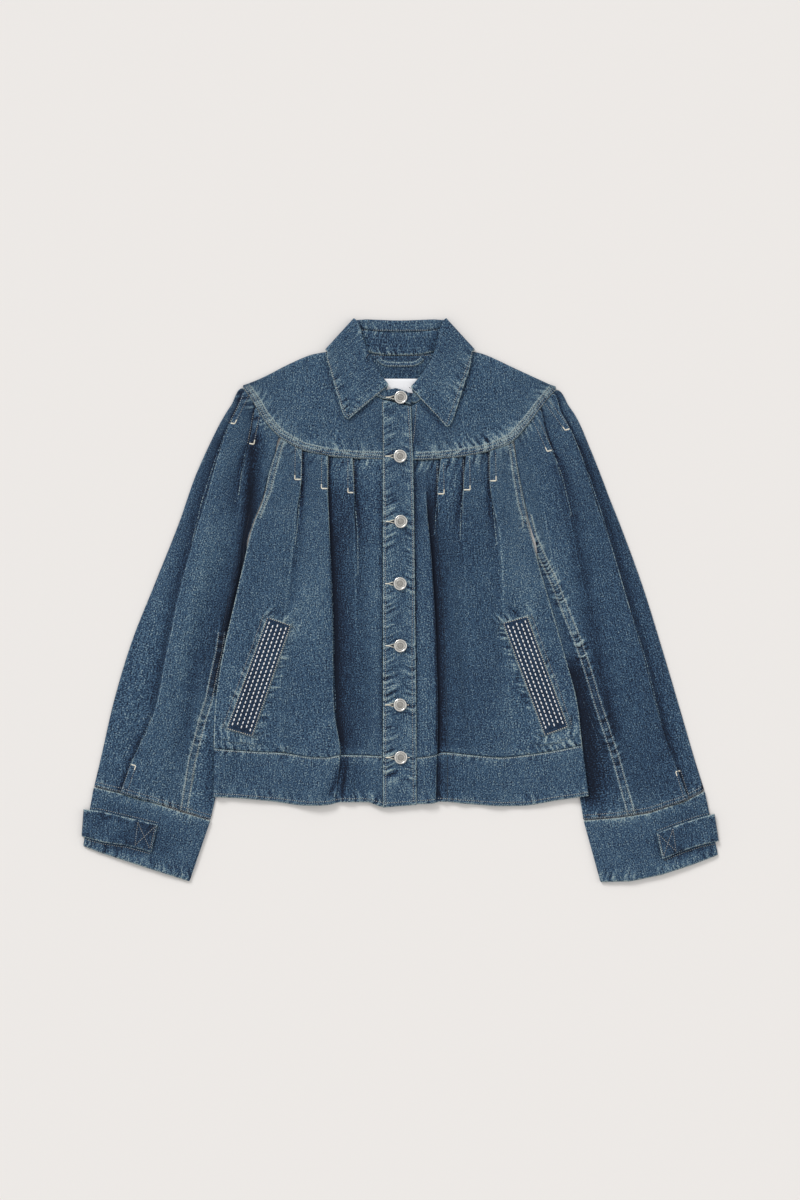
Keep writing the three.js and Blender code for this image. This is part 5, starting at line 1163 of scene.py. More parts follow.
def height_over(found, x, y, below=False):
    """Height of the highest cloth at x, y in millimetres, or of the lowest from below."""
    best = None
    for tree in found:
        start, way = Vector((x * MM, y * MM, -0.05 if below else 0.05)), Vector((0, 0, 1 if below else -1))
        hit = tree.ray_cast(start, way)[0]
        if hit is not None and (best is None or (hit.z < best if below else hit.z > best)):
            best = hit.z
    return None if best is None else best / MM

def heights_over(found, x, y, missing):
    values = [height_over(found, a, b) for a, b in zip(np.ravel(x), np.ravel(y))]
    return np.array([missing if value is None else value for value in values]).reshape(np.shape(x))

def calmed(z, passes=2):
    """Heights with their small ridges smoothed, as a stiffer piece on top has them."""
    for _ in range(passes):
        for axis in (0, 1):
            near = np.concatenate([z.take([0], axis), z, z.take([-1], axis)], axis=axis)
            size = z.shape[axis]
            z = (near.take(range(size), axis) + 2 * z + near.take(range(2, size + 2), axis)) / 4
    return z

# %% Cuff tabs
TAB_TURN, TAB_FOOT = 5, 1.1  # it comes round the cuff's edge in so many millimetres, from this height

for side in SIDES:
    top, bottom = [smooth_line(CUFFS[side][key]) for key in ("tabTop", "tabBottom")]
    count = points_over(TAB_LONG, 1.2)
    top, bottom = spaced(top, count=count), spaced(bottom, count=count)
    share = np.linspace(0, 1, points_over(TAB_WIDE, 1.2))[:, None]
    x, y = [lerp(top[:, k], bottom[:, k], share) for k in (0, 1)]
    on_cuff = trees(f"{side}_cuff_cloth")
    z = heights_over(on_cuff, x + 4 * -SIDES[side] * (1 - ease(np.arange(count), 0, 5)), y, 4.0)
    distance = np.linspace(0, 1, count) * TAB_LONG
    z = calmed(z, 3) + 1.3
    curve = np.clip(1 - distance / TAB_TURN, 0, 1)
    z = np.where(distance < TAB_TURN, TAB_FOOT + (z - TAB_FOOT) * np.sqrt(np.clip(1 - curve ** 2, 0, 1)), z)
    from_edge = np.minimum(share, 1 - share) * TAB_WIDE
    ridges = drift(distance, share * TAB_WIDE, 5, 7, 31) * 0.5 * np.exp(-(from_edge / 6) ** 2)
    buckle = 0.8 * drift(distance * 0.8 + share * 25, share * TAB_WIDE, 13, 22, 33 + SIDES[side])
    buckle *= ease(distance, 6, 20)
    z = z + ridges + np.maximum(buckle, -0.2) + 0.4
    # Wear on the ridges and buckles, and the cuffs' listed painted shade and light
    worn = 1.8 * ridges + 0.4 * buckle - 0.1 + 0.8 * shaded(x, y, "cuff")[0]
    cloth(f"{side}_cuff_tab", np.stack([x, y, z], axis=2), 1.4, worn, up=-SIDES[side],
          rims=["top", "bottom", "right"])

# %% [markdown]
# ## Plackets
# The fronts close in two long straight strips. The upper one, on the wearer's right front, has
# the buttonholes on top and lies over the lower one. Both are doubled, so they are stiffer than
# the fronts and only their edges pucker.

# %% Plackets
PLACKET_LONG, PLACKET_WIDE = 525, 44

def placket_neck(x):
    return lerp(260.2, 251.2, (x - PLACKET_LEFT) / 36.4)

def placket(node, insets, level, thickness, ends, turn):
    """A strip with its insets from the outer edges, its level, and where its lower corners end."""
    def foot(x):
        return lerp(*ends, (x - PLACKET_LEFT) / 43.5)
    down = np.linspace(0, 1, points_over(PLACKET_LONG))[:, None]
    share = np.linspace(0, 1, points_over(PLACKET_WIDE, 1.15) + 1)
    middle = lerp(placket_neck(0), foot(0), down)
    x = lerp(PLACKET_LEFT + insets[0], along(PLACKET_RIGHT, middle) - insets[1], share)
    y = lerp(placket_neck(x), foot(x), down)
    ridges, rubbed_and_shaded = puckered(node, x, y)
    z = level + ridges + living(x, y, 30, 60, 0.35, turn)
    cloth(node, np.stack([x, y, z], axis=2), thickness, rubbed_and_shaded + 0.08, rims=["left", "right", "bottom"])

# Insets, level, thickness, where the lower corners end, and a turn for its unevenness
placket("under_placket", (1, 3 + GAP), UNDER_PLACKET_LEVEL, 1.3, (-264, -264), 41)
placket("button_placket", (0, 0), BUTTON_PLACKET_LEVEL, 1.6, (-269.5, -266), 42)

# %% [markdown]
# ## Pocket welts
# Each pocket opens along a narrow slanting welt of darker cloth, covered with rows of white
# running stitches. It is laid on the front: the script looks down on the front for its height at
# every point, so the welt follows the folds beneath it.

# %% Welts
WELT_WIDE, WELT_LONG = 34, 152

for side, corners in WELTS.items():
    order = ("topOuter", "topInner", "bottomOuter", "bottomInner") if side == "right" else (
        "topInner", "topOuter", "bottomInner", "bottomOuter")
    a, b, c, d = [np.array(corners[key]) for key in order]
    across = np.linspace(0, 1, points_over(WELT_WIDE, 1.6) + 1)
    down = np.linspace(0, 1, points_over(WELT_LONG, 1.4))[:, None]
    x, y = [lerp(lerp(a[k], b[k], across), lerp(c[k], d[k], across), down) for k in (0, 1)]
    under = trees(f"{side}_front_cloth")
    z = calmed(heights_over(under, x, y, 4.0), 6) + 0.9
    edge = np.minimum(np.minimum(across, 1 - across) * WELT_WIDE, np.minimum(down, 1 - down) * WELT_LONG)
    z = z + 0.3 * drift(x, y, 9, 9, 51) - 0.5 * (1 - ease(edge, 0, 2.5))
    worn = np.exp(-(edge / 2.2) ** 2) * (0.5 + 0.5 * drift(x, y, 5, 5, 52))
    cloth(f"{side}_pocket_welt", np.stack([x, y, z], axis=2), 1.1, worn,
          rims=["top", "bottom", "left", "right"])

# %% [markdown]
# ## Collar
# The stand rises from the neck seam, and the leaf is sewn to it, rolls over at the top and falls
# to its two points. Laid flat, the front part of the collar faces up, and at the shoulders it
# turns over to run along the back, where the inside of the stand shows. Both are ribbons through
# the same stations, each with a place on the neck, on the roll and on the leaf's edge, and the
# direction out of the cloth there.

# %% Stations round the neck
COLLAR_FRONT_LEVEL, COLLAR_BACK_LEVEL, LEAF_RISE, LEAF_FRONT_LEVEL = 6.0, 2.7, 1.9, 8.1
STAND_SHARE = 0.68  # of the way from the neck to the roll, where the leaf is sewn on
LEAF_WIDE, STAND_WIDE = 62, 24

def collar_rows():
    """Rows of neck, roll and edge places, level, direction out and rise of the leaf."""
    half = (COLLAR_FRONT_LEVEL - COLLAR_BACK_LEVEL) / 2
    def row(s, sign, level, n, rise):
        return [sign * s["neck"][0], s["neck"][1], sign * s["roll"][0], s["roll"][1],
                sign * s["edge"][0], s["edge"][1], level, *n, rise]
    def turned(sign, degrees):
        lean = math.radians(degrees)
        out = np.array([0.73 * sign, 0.68])
        shift = out * half * math.sin(lean)
        moved = {key: (-p[0] + sign * shift[0], p[1] + shift[1]) for key, p in COLLAR_SIDE.items()}
        level = (COLLAR_FRONT_LEVEL + COLLAR_BACK_LEVEL) / 2 + half * math.cos(lean)
        n = (*(math.sin(lean) * out), math.cos(lean))
        return row(moved, sign, level, n, LEAF_RISE)
    fronts = {side: [row(s, 1, s["level"], (0, 0, 1), LEAF_FRONT_LEVEL - s["level"])
                     for s in COLLAR_FRONTS[side]]
              for side in SIDES}
    back = [row(s, sign, COLLAR_BACK_LEVEL, (0, 0, -1), LEAF_RISE)
            for sign, s in [(1, s) for s in COLLAR_BACK] + [(-1, s) for s in COLLAR_BACK[1::-1]]]
    steps = [0, 30, 60, 90, 120, 150, 180]
    return np.array(fronts["right"] + [turned(-1, d) for d in steps] + back
                    + [turned(1, d) for d in steps[::-1]] + fronts["left"][::-1])

def fine_rows(rows, step):
    """The same stations much closer together."""
    apart = np.linalg.norm(np.diff(rows[:, [2, 3, 6]], axis=0), axis=1) + np.linalg.norm(
        np.diff(rows[:, 4:6], axis=0), axis=1) * 0.6
    at = np.r_[0, np.cumsum(np.maximum(apart, 0.5))]
    places = np.linspace(0, at[-1], int(at[-1] / step))
    fine = np.stack([along(list(zip(at, values)), places) for values in rows.T], axis=1)
    fine[:, 7:10] = unit(fine[:, 7:10])
    return fine

STATIONS = fine_rows(collar_rows(), STEP * 0.8)
NECK, ROLL, LEAF_EDGE, LEVEL, OUT, RISE = np.split(STATIONS, [2, 4, 6, 7, 10], axis=1)
print(len(STATIONS), "collar stations")

# %% The leaf
def raised(plan, level):
    return np.concatenate([plan, level], axis=1)

def collar_leaf_grid():
    up = ROLL - NECK
    up = raised(unit(up), 0 * LEVEL)
    rows = []
    for share in np.linspace(STAND_SHARE + 0.02, 1, 5):
        rows.append(raised(lerp(NECK, ROLL, share), LEVEL))
    for angle in np.linspace(0, np.pi, 7)[1:-1]:
        rows.append(raised(ROLL, LEVEL) + OUT * RISE / 2
                    + (up * np.sin(angle) - OUT * np.cos(angle)) * RISE / 2)
    inner = len(rows)
    for share in np.linspace(0, 1, points_over(LEAF_WIDE, 1.25)):
        drop = 0.3 * share * share * np.maximum(OUT[:, 2:], 0)
        rows.append(raised(lerp(ROLL, LEAF_EDGE, share), LEVEL) + OUT * RISE - raised(0 * ROLL, drop))
    return np.array(rows), inner

grid, inner = collar_leaf_grid()
x, y = grid[..., 0], grid[..., 1]
ridges, rubbed_and_shaded = puckered("collar_leaf", x, y)
fallen = np.zeros(len(grid))
fallen[inner + 2:] = ease(np.arange(len(grid) - inner - 2), 0, 6)
faces_up = np.clip(OUT[:, 2], 0, 1)
lay = fallen[:, None] * faces_up
grid[..., 2] += lay * (ridges + living(x, y, 30, 30, 0.55, 61))
neck_side = np.zeros(x.shape)
neck_side[:inner + 1] = 1
# The collar's listed lines paint shade inside the stand and beside the leaf, and some light on the leaf
worn = (rubbed_and_shaded + shaded(x, y, "collar")[0]) * np.maximum(lay, 0.9 * neck_side)
worn[inner - 3:inner + 2] += 0.2
cloth("collar_leaf", grid, 1.4, worn, rims=["bottom", "left", "right"])

# %% The stand
tab = [[*s["neck"], *s["top"], s["level"]] for s in TAB_STATIONS]
body = np.concatenate([NECK, lerp(NECK, ROLL, STAND_SHARE), LEVEL], axis=1)
under_tab = [[*UNDER_TAB["neck"], *UNDER_TAB["top"], UNDER_TAB["level"]]]
start = spaced(np.array(tab + [body[0].tolist()]), STEP)[:-1]
finish = spaced(np.array([body[-1].tolist()] + under_tab), STEP)[1:]
stations = np.concatenate([start, body, finish])
normals = np.concatenate([np.tile([0, 0, 1.0], (len(start), 1)), OUT,
                          np.tile([0, 0, 1.0], (len(finish), 1))])
share = np.linspace(0.02, 1, points_over(STAND_WIDE, 1.2))[:, None, None]
grid = np.concatenate([lerp(stations[:, :2], stations[:, 2:4], share),
                       np.broadcast_to(stations[:, 4:], (len(share), len(stations), 1))], axis=2)
ridges, rubbed_and_shaded = puckered("collar_stand", grid[..., 0], grid[..., 1])
grid = grid + (0.5 * ridges)[..., None] * [0, 0, 1]
# The same painted shade inside the stand
worn = rubbed_and_shaded + shaded(grid[..., 0], grid[..., 1], "collar")[0]
cloth("collar_stand", grid, 1.3, worn, normals=np.broadcast_to(normals, grid.shape), rims=["top"])

# %% [markdown]
# ## Loop and label
# Inside the back neck there is a hanger loop of folded denim and a bare white label, of which
# only the top shows between the two points of the collar.

# %% Loop and label
def strap(node, path, width, thickness, lift, fine):
    line = smooth_line(path, fine)
    way = np.gradient(line, axis=0)
    way = unit(way)
    across = np.linspace(-0.5, 0.5, max(4, int(width / fine)))[:, None, None] * width
    plan = line + across * np.stack([-way[:, 1], way[:, 0]], axis=1)
    z = back_yoke_level(plan[..., 0], plan[..., 1]) + CLOTH / 2 + GAP + lift + thickness / 2
    grid = np.concatenate([plan, (z + 0.15 * drift(plan[..., 0], plan[..., 1], 8, 8, 71))[..., None]],
                          axis=2)
    return cloth(node, grid, thickness, 0 * z, up=-1, rims=["top", "bottom"])

strap("hanger_loop", LOOP_PATH, 6, 1.4, 0.1, 1.5)
strap("neck_label", LABEL_PATH, 46, 0.7, 0, 3)

# %% [markdown]
# ## Thread
# Every seam is topstitched in pale tan thread, a stitch every three millimetres, and between two
# stitches the needle's hole looks dark. The bars at the ends of the pleats are dense cream
# stitches. Painted dashes would slide over the puckers. So each stitch and each hole is a small
# grain of its own, laid on the cloth below it, and all of one thread are joined into one mesh. A
# hole is a near black grain of painted shadow, and so is the slit of each buttonhole.

# %% A stitch, and rows of it
GRAIN = np.array([(-0.5, 0, 0), *[(x, a, b) for x in (-0.3, 0.3) for a,
                                  b in ((0.5, 0), (0, 1), (-0.5, 0), (0, -0.4))],
                  (0.5, 0, 0)])
GRAIN_FACES = ([(0, 1 + (k + 1) % 4, 1 + k) for k in range(4)]
               + [(1 + k, 1 + (k + 1) % 4, 5 + (k + 1) % 4, 5 + k) for k in range(4)]
               + [(9, 5 + k, 5 + (k + 1) % 4) for k in range(4)])
THREADS = {}
SMALLEST_GAP, HOLE_HEIGHT = 0.8, 0.12
BLUNT = 0.8  # width of the narrower stitches
BAR = {"thread": "cream", "pitch": 0.9, "tall": 0.5}

def sew(thread, starts, ends, width, tall, below=False):
    """Stitches from points to points, each (x, y, z), all in millimetres."""
    starts, ends = np.asarray(starts, float), np.asarray(ends, float)
    if len(starts) == 0:
        return
    way = ends - starts
    side = np.cross([0, 0, -1.0 if below else 1.0], way)
    side /= np.maximum(np.linalg.norm(side, axis=1), 1e-6)[:, None]
    up = np.cross(unit(way), side)
    points = ((starts + ends)[:, None] / 2 + GRAIN[:, 0, None] * way[:, None]
              + GRAIN[:, 1, None] * side[:, None] * width + GRAIN[:, 2, None] * up[:, None] * tall)
    THREADS.setdefault(thread, []).append(points)

ALL_CLOTH = trees(*[o.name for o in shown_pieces() if o.name.endswith("_cloth")])

def stitch_row(line, thread="tan", long=1.7, pitch=2.9, width=0.9, tall=0.34, first=0.0, below=False,
               hole=1.2):
    """A row of stitches on a line of (x, y), laid on the cloth there."""
    line = np.asarray(line, float)
    at = places_on(line)
    places = np.arange(first, at[-1] - long, pitch)
    starts, ends = [], []
    for place in places:
        spots = [(float(np.interp(d, at, line[:, 0])), float(np.interp(d, at, line[:, 1])))
                 for d in (place, place + long)]
        z = [height_over(ALL_CLOTH, *spot, below) for spot in spots]
        if None in z or abs(z[0] - z[1]) > 1.5:
            continue
        nudge = -0.02 if below else 0.02
        starts.append((*spots[0], z[0] + nudge))
        ends.append((*spots[1], z[1] + nudge))
    sew(thread, starts, ends, width, tall, below)
    if starts and pitch - long > SMALLEST_GAP:
        starts, ends = np.array(starts), np.array(ends)
        sew("shadow", ends, ends + (ends - starts) * (pitch - long) / long, hole, HOLE_HEIGHT, below)

# %% Topstitching
def offset_rows(line, offsets, **how):
    for k, offset in enumerate(offsets):
        stitch_row(beside(smooth_line(line), offset), first=0.9 * k, **how)

for below in (False, True):
    how = {"below": below}
    for half in YOKE_HALVES:
        offset_rows(half, [1.3, 4.2, 8.4], **how)
    for side, sign in SIDES.items():
        offset_rows(ARMHOLES[side], [-sign * 1.5, -sign * 6.5], **how)
        offset_rows(CUFF_SEAMS[side], [-sign * 2.2, -sign * 6.5] if not below else [-sign * 2.2], **how)
        offset_rows(CUFFS[side]["hem"], [sign * 4.5], **how)
    hem_seams = [HEM_SEAM[:7], HEM_SEAM[7:]] if not below else [HEM_SEAM]
    for seam in hem_seams:
        offset_rows(seam, [-1.8], **how)
    offset_rows(HEM_EDGE, [4.6], **how)
for side, sign in SIDES.items():
    offset_rows(FELLED[side], [-3.6, 3.6])
for line in LEAF_EDGES + NECK_ROWS:
    offset_rows(line, [0], width=BLUNT)
for line in PLACKET_ROWS:
    offset_rows(line, [0])
offset_rows([(21.8, 256.1), (18.9, 221), (16.8, 203.5)], [0])
offset_rows([(-27.3, 264.7), (-7.8, 257.4), (13, 250.5)], [1.5])
offset_rows([(-15.6, 304.2), (20.8, 304.2)], [0])
for corners in WELTS.values():
    loop = [np.array(corners[key]) for key in ("topInner", "topOuter", "bottomOuter", "bottomInner",
                                               "topInner")]
    middle = np.mean(loop[:4], axis=0)
    for a, b in zip(loop, loop[1:]):
        way = (b - a) / np.linalg.norm(b - a)
        inward = np.array([-way[1], way[0]])
        inward *= np.sign(np.dot(middle - a, inward))
        stitch_row([a + way * 2 + inward * 1.8, b - way * 2 + inward * 1.8], thread="cream", width=BLUNT)
    inner, outer, lower = loop[:3]
    away = (outer - inner) / math.dist(outer, inner)
    stitch_row([outer + away * 4.5, lower + away * 4.5])
BOX_ALONG, BOX_ACROSS = (0.28, 0.93), (0.08, 0.92)  # shares of the tab's sewn end
BOXED_CROSS = [((1, 0), (1, 1), BLUNT), ((0, 0), (0, 1), BLUNT), ((0, 0), (1, 1), 0.9),
               ((0, 1), (1, 0), 0.9)]

def on_tab(top, bottom, share_along, share_across):
    upper, lower = [lerp(np.array(edge[2]), np.array(edge[3]), share_along) for edge in (top, bottom)]
    return lerp(upper, lower, share_across)

for side, sign in SIDES.items():
    top, bottom = CUFFS[side]["tabTop"], CUFFS[side]["tabBottom"]
    for line, offset in ((top, -sign * 2.6), (bottom, sign * 2.6)):
        stitch_row(beside(smooth_line(line), offset)[3:], width=BLUNT)
    corners = {(u, v): on_tab(top, bottom, BOX_ALONG[u], BOX_ACROSS[v]) for u in (0, 1) for v in (0, 1)}
    for start, end, width in BOXED_CROSS:
        stitch_row([corners[start], corners[end]], width=width)
print({name: sum(len(p) for p in parts) for name, parts in THREADS.items()}, "stitches")

# %% Pleat stitching, with a bar at the end of each
PLEATS = [
    [(-135.8, 200.2), (-136.5, 156.5), (-128.1, 156.5)], [(-101.7, 185.9), (-101.9, 144.6), (-93.3, 144.6)],
    [(-67.6, 182), (-67.6, 139.4), (-59.9, 139.4)], [(56.6, 178.1), (57.2, 137.8), (48.6, 137.8)],
    [(90.4, 183.3), (91, 143), (82.7, 143)], [(124, 191.1), (124.8, 154.7), (116.2, 154.7)],
    [(-195.7, 266.5), (-214.6, 228.8), (-221.8, 229.8)], [(-182, 243.1), (-189.8, 202.2), (-197.9, 203.6)],
    [(189, 254.8), (214.5, 220.3), (221, 222.3)], [(172.4, 234), (191.1, 192.9), (198.1, 194.7)],
    [(-354.4, -250.9), (-342.8, -215.2), (-349.7, -213.2)], [(369.2, -258.7), (357.8, -223),
                                                             (364.5, -221.8)],
]
for row, foot, tip in PLEATS:
    stitch_row(smooth_line([row, foot]), width=BLUNT)
    stitch_row([foot, tip, tip], long=1.6, width=1.9, **BAR)
    stitch_row(smooth_line([tip, np.array(tip) + np.array(row) - foot]), width=BLUNT)
    back = lerp(np.array(foot), np.array(row), 6.5 / math.dist(foot, row))
    stitch_row([foot, back, back], long=1.4, width=1.5, **BAR)
# Buttonholes: a dark slit of painted shadow to the viewer's left of each button, with a row of
# dense stitches on both sides that close round its end, and a short bar beyond the last two buttons
for x, y in BUTTON_CENTRES:
    sew("shadow", [(x - 14, y, height_over(ALL_CLOTH, x - 14, y))],
        [(x - 6, y, height_over(ALL_CLOTH, x - 7, y))], 2.2, 0.2)
    for spread in (-2.3, 2.3):
        stitch_row([(x - 19.5, y + 0.1 * spread), (x - 14.5, y + 0.15 * spread), (x - 8.0, y + spread),
                    (x - 8, y + spread)], thread="cream", long=1.5, pitch=0.9, width=1.0, tall=0.45)
for x, y in BUTTON_CENTRES[5:]:
    stitch_row([(x + 8.5, y), (x + 12, y), (x + 12, y)], thread="cream", long=1.3, pitch=0.9, width=1.1,
               tall=0.4)
for corners in WELTS.values():
    top_inner, top_outer, bottom_inner, bottom_outer = [
        np.array(corners[key]) for key in ("topInner", "topOuter", "bottomInner", "bottomOuter")]
    for k in range(5):
        across = 0.17 + 0.165 * k
        a, b = lerp(top_inner, top_outer, across), lerp(bottom_inner, bottom_outer, across)
        line = [lerp(a, b, 0.035), lerp(a, b, 0.965)]
        stitch_row(line, thread="white", long=4.3, pitch=5.8, width=1.7, tall=0.55, first=2.9 * (k % 2),
                   hole=0.8)
total = sum(len(part) for parts in THREADS.values() for part in parts)
print(total, "stitches in all")

# %% [markdown]
# ## Buttons
# Seven domed metal buttons stand on short posts, each with a raised rim and an inner ring. A
# button is round, so its outline is turned about its middle.

# %% Buttons
def button_mesh(name, centre, height):
    profile = np.array([(2.6, -0.2), (3.4, 0.0), (3.4, 0.9), (6.6, 0.9), (7.9, 1.2), (8.4, 1.7),
                        (8.5, 2.1), (8.3, 2.55),
                        (7.8, 2.85), (7.2, 2.9), (6.7, 2.7), (6.3, 2.4), (5.9, 2.4), (5.5, 2.65),
                        (5.0, 2.75),
                        (4.4, 2.7), (3.9, 2.55), (3.4, 2.62), (2.4, 2.95), (1.2, 3.15), (0.0, 3.2)])
    sides = 48
    angles = np.linspace(0, 2 * np.pi, sides, endpoint=False)
    points = [(r * math.cos(a), r * math.sin(a), z) for r, z in profile[:-1] for a in angles]
    faces = [(k * sides + m, k * sides + (m + 1) % sides, (k + 1) * sides + (m + 1) % sides,
              (k + 1) * sides + m)
             for k in range(len(profile) - 2) for m in range(sides)]
    top = len(points)
    points.append((0, 0, profile[-1][1]))
    faces += [((len(profile) - 2) * sides + m, (len(profile) - 2) * sides + (m + 1) % sides, top)
              for m in range(sides)]
    faces.append(tuple(range(sides))[::-1])
    made = mesh_object(name, (np.array(points) + [*centre, height]) * MM, faces)
    # Darker in the grooves and on the post, painted shade along with patina, and paler on the rim's crown,
    # a painted highlight
    tone = np.interp(profile[:, 0], [0, 2.6, 3.3, 3.9, 4.6, 5.4, 6.1, 6.8, 7.6, 8.5],
                     [-0.9, -0.7, -1.7, -0.9, 0.4, 0.2, -1.6, 0, 1.4, 0.6])
    tone[:5] = -1.6
    keep_attribute(made.data, "worn", np.r_[np.repeat(tone[:-1], sides), tone[-1]])
    return made

for number, (x, y) in enumerate(BUTTON_CENTRES, 1):
    level = height_over(ALL_CLOTH, x, y) or 6.5
    made = button_mesh(f"silver_button_{number}", (x, y), level + 0.15)
    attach(made, "root")
    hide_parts(f"button_{number}")
print(len(BUTTON_CENTRES), "buttons")

# %% The thread meshes
TONES = np.random.default_rng(5)
SEWN = {}
for thread, parts in THREADS.items():
    grains = np.concatenate(parts)
    points = grains.reshape(-1, 3) * MM
    faces = [tuple(10 * k + c for c in face) for k in range(len(grains)) for face in GRAIN_FACES]
    made = mesh_object(f"{thread}_thread", points, faces)
    keep_attribute(made.data, "worn", np.repeat(TONES.uniform(-1, 1, len(grains)), 10))
    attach(made, "root")
    SEWN[thread] = made
    print(thread, len(grains), "stitches,", len(grains) * 16, "triangles")

# %% [markdown]
# ## Sums on sockets
# A finish is a sum of a few patterns. Written with nodes alone it is hard to read, so a small
# class wraps a socket and lets it be added and multiplied like a number. Another holds one
# material's nodes and makes any node from its type, its settings and what goes into its sockets.

# %% Finishes as sums
class Knob:
    """A value in a finish, with the arithmetic that finishes use."""
    def __init__(self, board, socket):
        self.board, self.socket = board, socket

    def sum(self, operation, first, second):
        return self.board.value("ShaderNodeMath", {"operation": operation}, {0: first, 1: second})

    def size(self):
        return self.sum("ABSOLUTE", self, 0.0)

    def __add__(self, other):
        return self.sum("ADD", self, other)

    def __sub__(self, other):
        return self.sum("SUBTRACT", self, other)

    def __rsub__(self, other):
        return self.sum("SUBTRACT", other, self)

    def __mul__(self, other):
        return self.sum("MULTIPLY", self, other)

    __radd__, __rmul__ = __add__, __mul__

class Board:
    """The nodes of one finish."""
    def __init__(self, name):
        self.material = bpy.data.materials.new(name)
        self.material.use_nodes = True
        self.tree = self.material.node_tree
        self.tree.nodes.clear()

    def node(self, kind, settings, sockets):
        made = self.tree.nodes.new(kind)
        for key, value in settings.items():
            if key == "stops":
                ramp = made.color_ramp.elements
                while len(ramp) < len(value):
                    ramp.new(0.5)
                for stop, (place, colour) in zip(ramp, value):
                    stop.position, stop.color = place, (*colour, 1)
            else:
                setattr(made, key, value)
        for key, value in sockets.items():
            if isinstance(value, Knob):
                self.tree.links.new(value.socket, made.inputs[key])
            else:
                made.inputs[key].default_value = value
        return made

    def value(self, kind, settings, sockets, output=0):
        return Knob(self, self.node(kind, settings, sockets).outputs[output])

    def kept(self, name, output="Fac"):
        """What the cloth kept at each of its points under this name."""
        return self.value("ShaderNodeAttribute", {"attribute_name": name}, {}, output)

    def grain(self, place, across, down, detail=2.0):
        """A pattern of soft spots from -0.5 to 0.5, so many to a unit of the place each way."""
        stretched = self.value("ShaderNodeVectorMath", {"operation": "MULTIPLY"},
                               {0: place, 1: (across, down, 1)})
        return self.value("ShaderNodeTexNoise", {"noise_dimensions": "2D"},
                          {"Vector": stretched, "Scale": 1.0, "Detail": detail, "Roughness": 0.6}) - 0.5

    def finish(self, colour, roughness, bump=None, depth=0.0003, strength=1.0, **constants):
        sockets = {"Base Color": colour, "Roughness": roughness, **constants}
        if bump is not None:
            sockets["Normal"] = self.value("ShaderNodeBump", {},
                                           {"Height": bump, "Distance": depth, "Strength": strength})
        shader = self.value("ShaderNodeBsdfPrincipled", {}, sockets)
        self.node("ShaderNodeOutputMaterial", {}, {"Surface": shader})
        return self.material

# %% [markdown]
# ## Washed denim
# Denim is woven from indigo warp and white weft. Its warp yarns are uneven, so the cloth has fine
# streaks down its length, and washing rubs the raised parts pale and slightly green while the
# folded parts stay deep blue. The streaks are noise stretched down the cloth, and the tone kept
# at each point, wear together with painted shade and painted light, pushes the same ramp of
# blues up or down. The fine puckers beside the seams and the pale line along each pressed edge
# come from what the cloth kept about them.

# %% Denim
BLUES = [(0.0, (0.002, 0.006, 0.017)), (0.22, (0.009, 0.022, 0.050)), (0.42, (0.022, 0.053, 0.106)),
         (0.58, (0.044, 0.096, 0.168)), (0.76, (0.092, 0.166, 0.232)), (1.0, (0.300, 0.380, 0.390))]

WHITEST_EDGE, EDGE_END = 0.6, 2.1  # millimetres from a pressed edge, full and gone
PUCKERS_ALONG, PUCKERS_AWAY = 0.19, 0.03  # spots to the millimetre, along a seam and away from it

def denim(name, level=0.495, speckle=1.0, wear_and_shade_strength=0.3, pale=0.4):
    """A finish from its level in the blues, its speckle, how strongly the kept tone with its painted shade
    moves it, and how much edges pale it.
    """
    board = Board(name)
    place = board.value("ShaderNodeUVMap", {"uv_map": "weave"}, {}, "UV")
    worn = board.kept("worn")
    rim = board.kept("rim")
    slub = board.grain(place, 620, 70)
    fine = board.grain(place, 760, 560, 1.0)
    cloud = board.grain(place, 16, 9)
    edge = board.value("ShaderNodeMapRange", {"interpolation_type": "SMOOTHSTEP"},
                       {"Value": rim.size(), "From Min": WHITEST_EDGE, "From Max": EDGE_END,
                        "To Min": 1.0, "To Max": 0.0})
    seam = board.kept("seam", "Vector")
    strength = board.value("ShaderNodeSeparateXYZ", {}, {0: seam}, "Z")
    pucker = board.grain(seam, PUCKERS_ALONG, PUCKERS_AWAY, 1.5) * strength
    # The kept tone darkens folds, creases and gaps as painted shade, pales some raised parts as painted
    # light, and carries the wear.
    tone = (level + speckle * (slub * 0.6 + fine * 1.6) + cloud * 0.2 + worn * wear_and_shade_strength
            + pucker * 1.7 + edge * (fine * 1.6 + pale))
    colour = board.value("ShaderNodeValToRGB", {"stops": BLUES}, {0: tone}, "Color")
    diagonal = board.value("ShaderNodeVectorMath", {"operation": "MULTIPLY"},
                           {0: place, 1: (1000, 1000, 1)})
    twill = board.value("ShaderNodeTexWave", {"bands_direction": "DIAGONAL"},
                        {"Vector": diagonal, "Scale": 0.18, "Distortion": 0.8}, "Fac")
    return board.finish(colour, 0.88, twill * 0.35 + slub * 1.2 + fine * 1.4 + pucker * 7, 0.00045, 0.8,
                        **{"Sheen Weight": 0.12, "Sheen Roughness": 0.4, "Specular IOR Level": 0.25})

def plain(name, colour, spread, roughness, metallic=0.0):
    board = Board(name)
    place = board.value("ShaderNodeTexCoord", {}, {}, "Object")
    spots = board.value("ShaderNodeTexNoise", {}, {"Vector": place, "Scale": 900.0, "Detail": 3.0}) - 0.5
    # For the buttons this kept tone is painted shade and highlight, for the threads a random spread
    worn = board.kept("worn")
    low, high = [tuple(min(1.0, c * (1 + s * spread)) for c in colour) for s in (-1, 1)]
    tint = board.value("ShaderNodeMix", {"data_type": "RGBA"},
                       {0: spots * 0.8 + worn * 0.32 + 0.5, 6: (*low, 1), 7: (*high, 1)}, 2)
    return board.finish(tint, spots * 0.3 + roughness, spots, 0.0002, 0.5, Metallic=metallic)

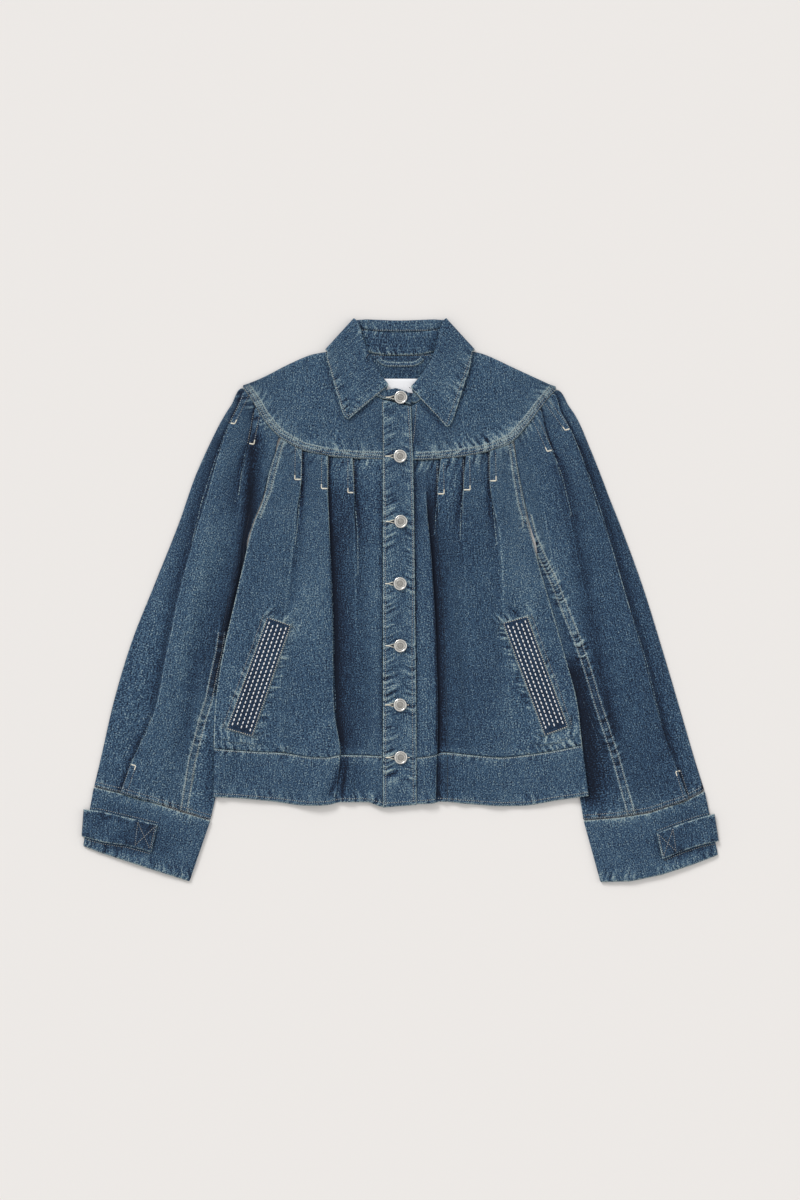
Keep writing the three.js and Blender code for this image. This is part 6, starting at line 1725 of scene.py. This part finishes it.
FINISHES = {
    "denim": denim("washed_denim"),
    "denim_band": denim("doubled_denim", 0.49),
    "welt_denim": denim("dark_welt_denim", 0.27, 0.6, 0.4),
    "label_tape": plain("white_tape", (0.86, 0.87, 0.90), 0.04, 0.7),
    "silver_button": plain("worn_shaded_silver", (0.60, 0.59, 0.56), 0.55, 0.3, 1.0),
    "tan": plain("tan_thread", (0.36, 0.39, 0.40), 0.35, 0.7),
    "shadow": plain("needle_hole_shadow", (0.008, 0.014, 0.026), 0.3, 0.9),
    "cream": plain("cream_thread", (0.80, 0.76, 0.64), 0.15, 0.7),
    "white": plain("white_thread", (0.92, 0.93, 0.93), 0.07, 0.6),
}
print(len(FINISHES), "finishes")

# %% Each piece gets its slot and its finish
BANDS = ("hem_band", "cuff", "cuff_tab", "placket", "collar_stand", "collar_leaf", "hanger_loop")
for node in CUTS:
    made = bpy.data.objects[f"{node}_cloth"]
    slot = "denim_band" if node.endswith(BANDS) else "denim"
    slot = "welt_denim" if node.endswith("welt") else "label_tape" if node == "neck_label" else slot
    made.data.materials.append(FINISHES[slot])
for thread, made in SEWN.items():
    made.data.materials.append(FINISHES[thread])
for number in range(1, len(BUTTON_CENTRES) + 1):
    bpy.data.objects[f"silver_button_{number}"].data.materials.append(FINISHES["silver_button"])

# %% [markdown]
# ## Sheets
# Each cloth's flat size is reckoned from the size it was cut to, with a little spare, and the
# number of cloths is printed.

# %% Sheets
SPARE, LEAST_SIDE = 1.01, 0.011  # a cut's spare, and the smallest side of a sheet in metres

for node, (wide, long, area) in CUTS.items():
    flat = (max(wide * SPARE, LEAST_SIDE), max(long * SPARE, LEAST_SIDE))
    min(area, wide * long)
print(len(CUTS), "sheets")

# %% [markdown]
# ## Ground, light and camera
# The jacket lies on a plain pale ground. A broad light from the upper left and a weaker one from
# the right draw the folds softly, and the camera looks straight down from over four metres with
# a long lens, which keeps the sides upright as on the photograph.

# %% Ground and light
bpy.ops.mesh.primitive_plane_add(size=12, location=(0, 0, -0.0004))
ground = bpy.context.object
ground.name = "ground"
board = Board("pale_ground")
ground.data.materials.append(board.finish((0.823, 0.803, 0.786, 1), 0.95, **{"Specular IOR Level": 0.0}))

world = bpy.data.worlds.new("studio")
bpy.context.scene.world = world
world.use_nodes = True
world.node_tree.nodes["Background"].inputs["Color"].default_value = (1.0, 0.985, 0.97, 1)
world.node_tree.nodes["Background"].inputs["Strength"].default_value = 0.66

def broad_light(name, place, spread, power):
    lamp = bpy.data.lights.new(name, "SUN")
    lamp.angle, lamp.energy = math.radians(spread), power
    made = bpy.data.objects.new(name, lamp)
    made.location = place
    made.rotation_euler = (-Vector(place)).to_track_quat("-Z", "Y").to_euler()
    COLLECTION.objects.link(made)

broad_light("upper_left_light", (-1.5, 2.2, 1.7), 20, 1.75)
broad_light("right_light", (2.4, 0.2, 1.5), 40, 0.4)

# %% Camera
camera = bpy.data.objects.new("camera", bpy.data.cameras.new("camera"))
camera.data.lens, camera.data.sensor_width = 100, 36
camera.location = (0, 0, 4.3333)
COLLECTION.objects.link(camera)
bpy.context.scene.camera = camera
bpy.context.scene.view_settings.view_transform = "Standard"
